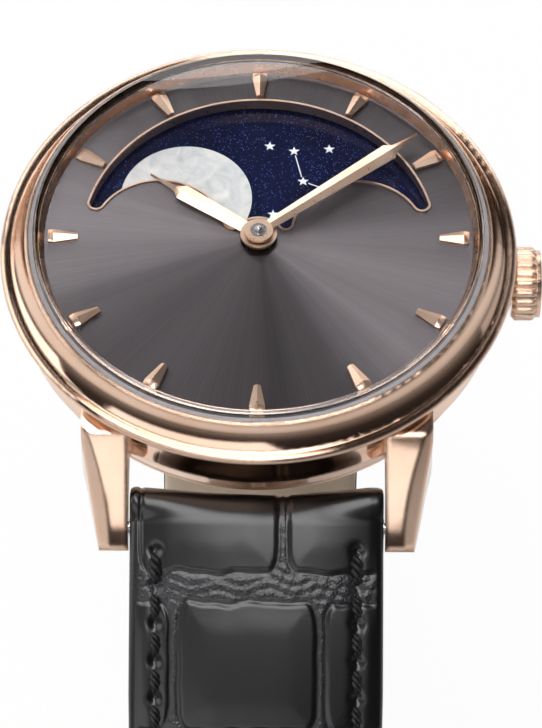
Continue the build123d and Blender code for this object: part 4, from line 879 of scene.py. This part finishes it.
def make_keeper(name, node, body):
    """Loop of folded leather with rounded edges and a line pressed along each of them."""
    low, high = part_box(node)
    middle = (low + high) / 2
    half_x, half_y, half_z = (high - low) / 2
    wall, corner, rounding = KEEPER_WALL * MM, KEEPER_CORNER * MM, STRIP_ROUND * MM
    outline = []
    for sx, sz, first in ((1, 1, 0), (-1, 1, 90), (-1, -1, 180), (1, -1, 270)):
        for step in range(CORNER_STEPS + 1):
            angle = math.radians(first + 90 * step / CORNER_STEPS)
            out_x, out_z = math.cos(angle), math.sin(angle)
            outline.append((sx * (half_x - corner) + corner * out_x, sz * (half_z - corner) + corner * out_z,
                            out_x, out_z))
    edge = [(wall, half_y - rounding), (wall - rounding, half_y), (rounding, half_y), (0, half_y - rounding),
            (0, half_y * (PRESS_PLACE + PRESS_HALF)), (PRESS_DEPTH * MM, half_y * PRESS_PLACE),
            (0, half_y * (PRESS_PLACE - PRESS_HALF))]
    profile = [(depth, -y) for depth, y in edge] + [(0, 0)] + edge[::-1]
    bm = bmesh.new()
    rings = []
    for x, z, out_x, out_z in outline:
        ring = [middle + Vector((x - out_x * depth, y, z - out_z * depth)) for depth, y in profile]
        rings.append([bm.verts.new(point) for point in ring])
    for first, second in zip(rings, rings[1:] + rings[:1]):
        for index in range(len(profile)):
            following = (index + 1) % len(profile)
            bm.faces.new((first[index], second[index], second[following], first[following]))
    piece = new_piece(name, bm, [strap_hide], body)
    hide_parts(node)


make_keeper("fixed_keeper_loop", "fixed_keeper", "strap_short")
make_keeper("free_keeper_loop", "free_keeper", "free_keeper_body")


# Lines printed on the moon disc from star to star, on one half of it; the other half repeats them
STAR_LINES = [((2.68, 8.65), (3.15, 6.62)), ((3.66, 6.02), (5.9, 5.06))]
PRINT_HALF = 0.035
PRINT_RISE = 0.02


def make_star_lines():
    """The lines of both halves of the disc, raised by the ink's thickness."""
    bm = bmesh.new()
    mirrored = [((-x0, -y0), (-x1, -y1)) for (x0, y0), (x1, y1) in STAR_LINES]
    for (x0, y0), (x1, y1) in STAR_LINES + mirrored:
        start, end = Vector((x0, y0, MOON_TOP)), Vector((x1, y1, MOON_TOP))
        along = (end - start).normalized()
        side = Vector((-along.y, along.x, 0)) * PRINT_HALF
        low = [start + side, start - side, end - side, end + side]
        high = [point + Vector((0, 0, PRINT_RISE)) for point in low]
        tube(bm, [[point * MM for point in ring] for ring in (low, high)])
    new_piece("star_lines", bm, [silver], "moon_body", smooth=False)


make_star_lines()

# Floor: white paper, 3 m across, which the camera sees as nearly even white with a faint shadow
FLOOR_HALF = 1.5
FLOOR_SEEN_WHITE = 0.95
floor_corners = [(x * FLOOR_HALF, y * FLOOR_HALF, 0) for x, y in ((-1, -1), (1, -1), (1, 1), (-1, 1))]
floor_mesh = bpy.data.meshes.new("floor")
floor_mesh.from_pydata(floor_corners, [], [(0, 1, 2, 3)])
floor = bpy.data.objects.new("floor", floor_mesh)
floor.location.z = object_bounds()[0][2]
bpy.context.scene.collection.objects.link(floor)
floor_paper, floor_tree, floor_shader = surface("white paper backdrop", "#F4F4F4", 0.7)
floor_rays = add(floor_tree, "ShaderNodeLightPath")
white = add(floor_tree, "ShaderNodeEmission", {"Color": linear("#FFFFFF"), "Strength": 1.0})
share = add(floor_tree, "ShaderNodeMath", {0: floor_rays.outputs["Is Camera Ray"], 1: FLOOR_SEEN_WHITE},
            operation="MULTIPLY")
add(floor_tree, "ShaderNodeMixShader", {0: share, 1: floor_shader, 2: white},
    floor_tree.nodes["Material Output"].inputs["Surface"])
floor_mesh.materials.append(floor_paper)

# Background: white to the camera; to the metal it is a studio, pale near the floor and dark above
STUDIO_TONES = [(0.0, "#A8A4A2"), (0.16, "#6E6A69"), (0.34, "#3A3635"), (0.7, "#242122"), (1.0, "#4A4746")]
world = bpy.data.worlds.new("studio")
bpy.context.scene.world = world
world.use_nodes = True
sky = world.node_tree
sky.nodes.clear()
sky_coords = add(sky, "ShaderNodeTexCoord")
sky_parts = add(sky, "ShaderNodeSeparateXYZ", {0: sky_coords.outputs["Generated"]})
height = add(sky, "ShaderNodeMapRange", {"Value": sky_parts.outputs["Z"], "From Min": -0.1, "From Max": 1.0})
studio = add(sky, "ShaderNodeValToRGB", {"Fac": height}, stops=STUDIO_TONES)
seen = add(sky, "ShaderNodeLightPath").outputs["Is Camera Ray"]
back_light = add(sky, "ShaderNodeBackground", {"Color": studio, "Strength": 0.9})
back_white = add(sky, "ShaderNodeBackground", {"Color": linear("#FFFFFF"), "Strength": 1.0})
choice = add(sky, "ShaderNodeMixShader", {0: seen, 1: back_light, 2: back_white})
add(sky, "ShaderNodeOutputWorld", {"Surface": choice})

# Lamps, all aimed at the head of the watch; their places and sizes are in metres
LAMP_AIM = (0, 0, 0.055)


def softbox(name, spot, width, depth, radiance):
    """Soft lamp; its power follows from how bright its face looks."""
    light = bpy.data.lights.new(name, "AREA")
    light.shape = "RECTANGLE"
    light.size = width
    light.size_y = depth
    light.energy = radiance * math.pi * width * depth
    lamp = bpy.data.objects.new(name, light)
    lamp.location = spot
    lamp.rotation_euler = (Vector(LAMP_AIM) - Vector(spot)).to_track_quat("-Z", "Y").to_euler()
    bpy.context.scene.collection.objects.link(lamp)


softbox("top softbox", (-0.05, -0.03, 0.65), 0.56, 0.24, 5.2)
softbox("front softbox", (-0.26, -0.5, 0.42), 0.74, 0.3, 1.4)
softbox("back softbox", (0.0, 0.8, 0.36), 1.2, 0.34, 3.3)
softbox("crystal softbox", (-0.12, 0.62, 0.6), 0.9, 0.14, 3.0)
softbox("left softbox", (-0.75, 0.2, 0.4), 0.7, 0.6, 1.9)
softbox("right softbox", (0.75, 0.3, 0.25), 0.4, 0.36, 0.4)

# The photograph's viewing angle, solved from the dial's ring of markers: places in millimetres, the roll
# in degrees, and the lens for a sensor 36 mm wide
CAMERA = (1.56, -164.4, 217.8 + STAND)
CAMERA_AIM = (0.968, -11.027, STAND)
ROLL = 0.13
LENS = 183.9
SENSOR = 36.0
camera_data = bpy.data.cameras.new("camera")
camera_data.lens = LENS
camera_data.sensor_width = SENSOR
camera = bpy.data.objects.new("camera", camera_data)
camera.location = Vector(CAMERA) * MM
look = (Vector(CAMERA_AIM) - Vector(CAMERA)).to_track_quat("-Z", "Y").to_matrix().to_4x4()
camera.rotation_euler = (look @ Matrix.Rotation(math.radians(ROLL), 4, "Z")).to_euler()
bpy.context.scene.collection.objects.link(camera)
bpy.context.scene.camera = camera
bpy.context.scene.view_settings.view_transform = "Standard"
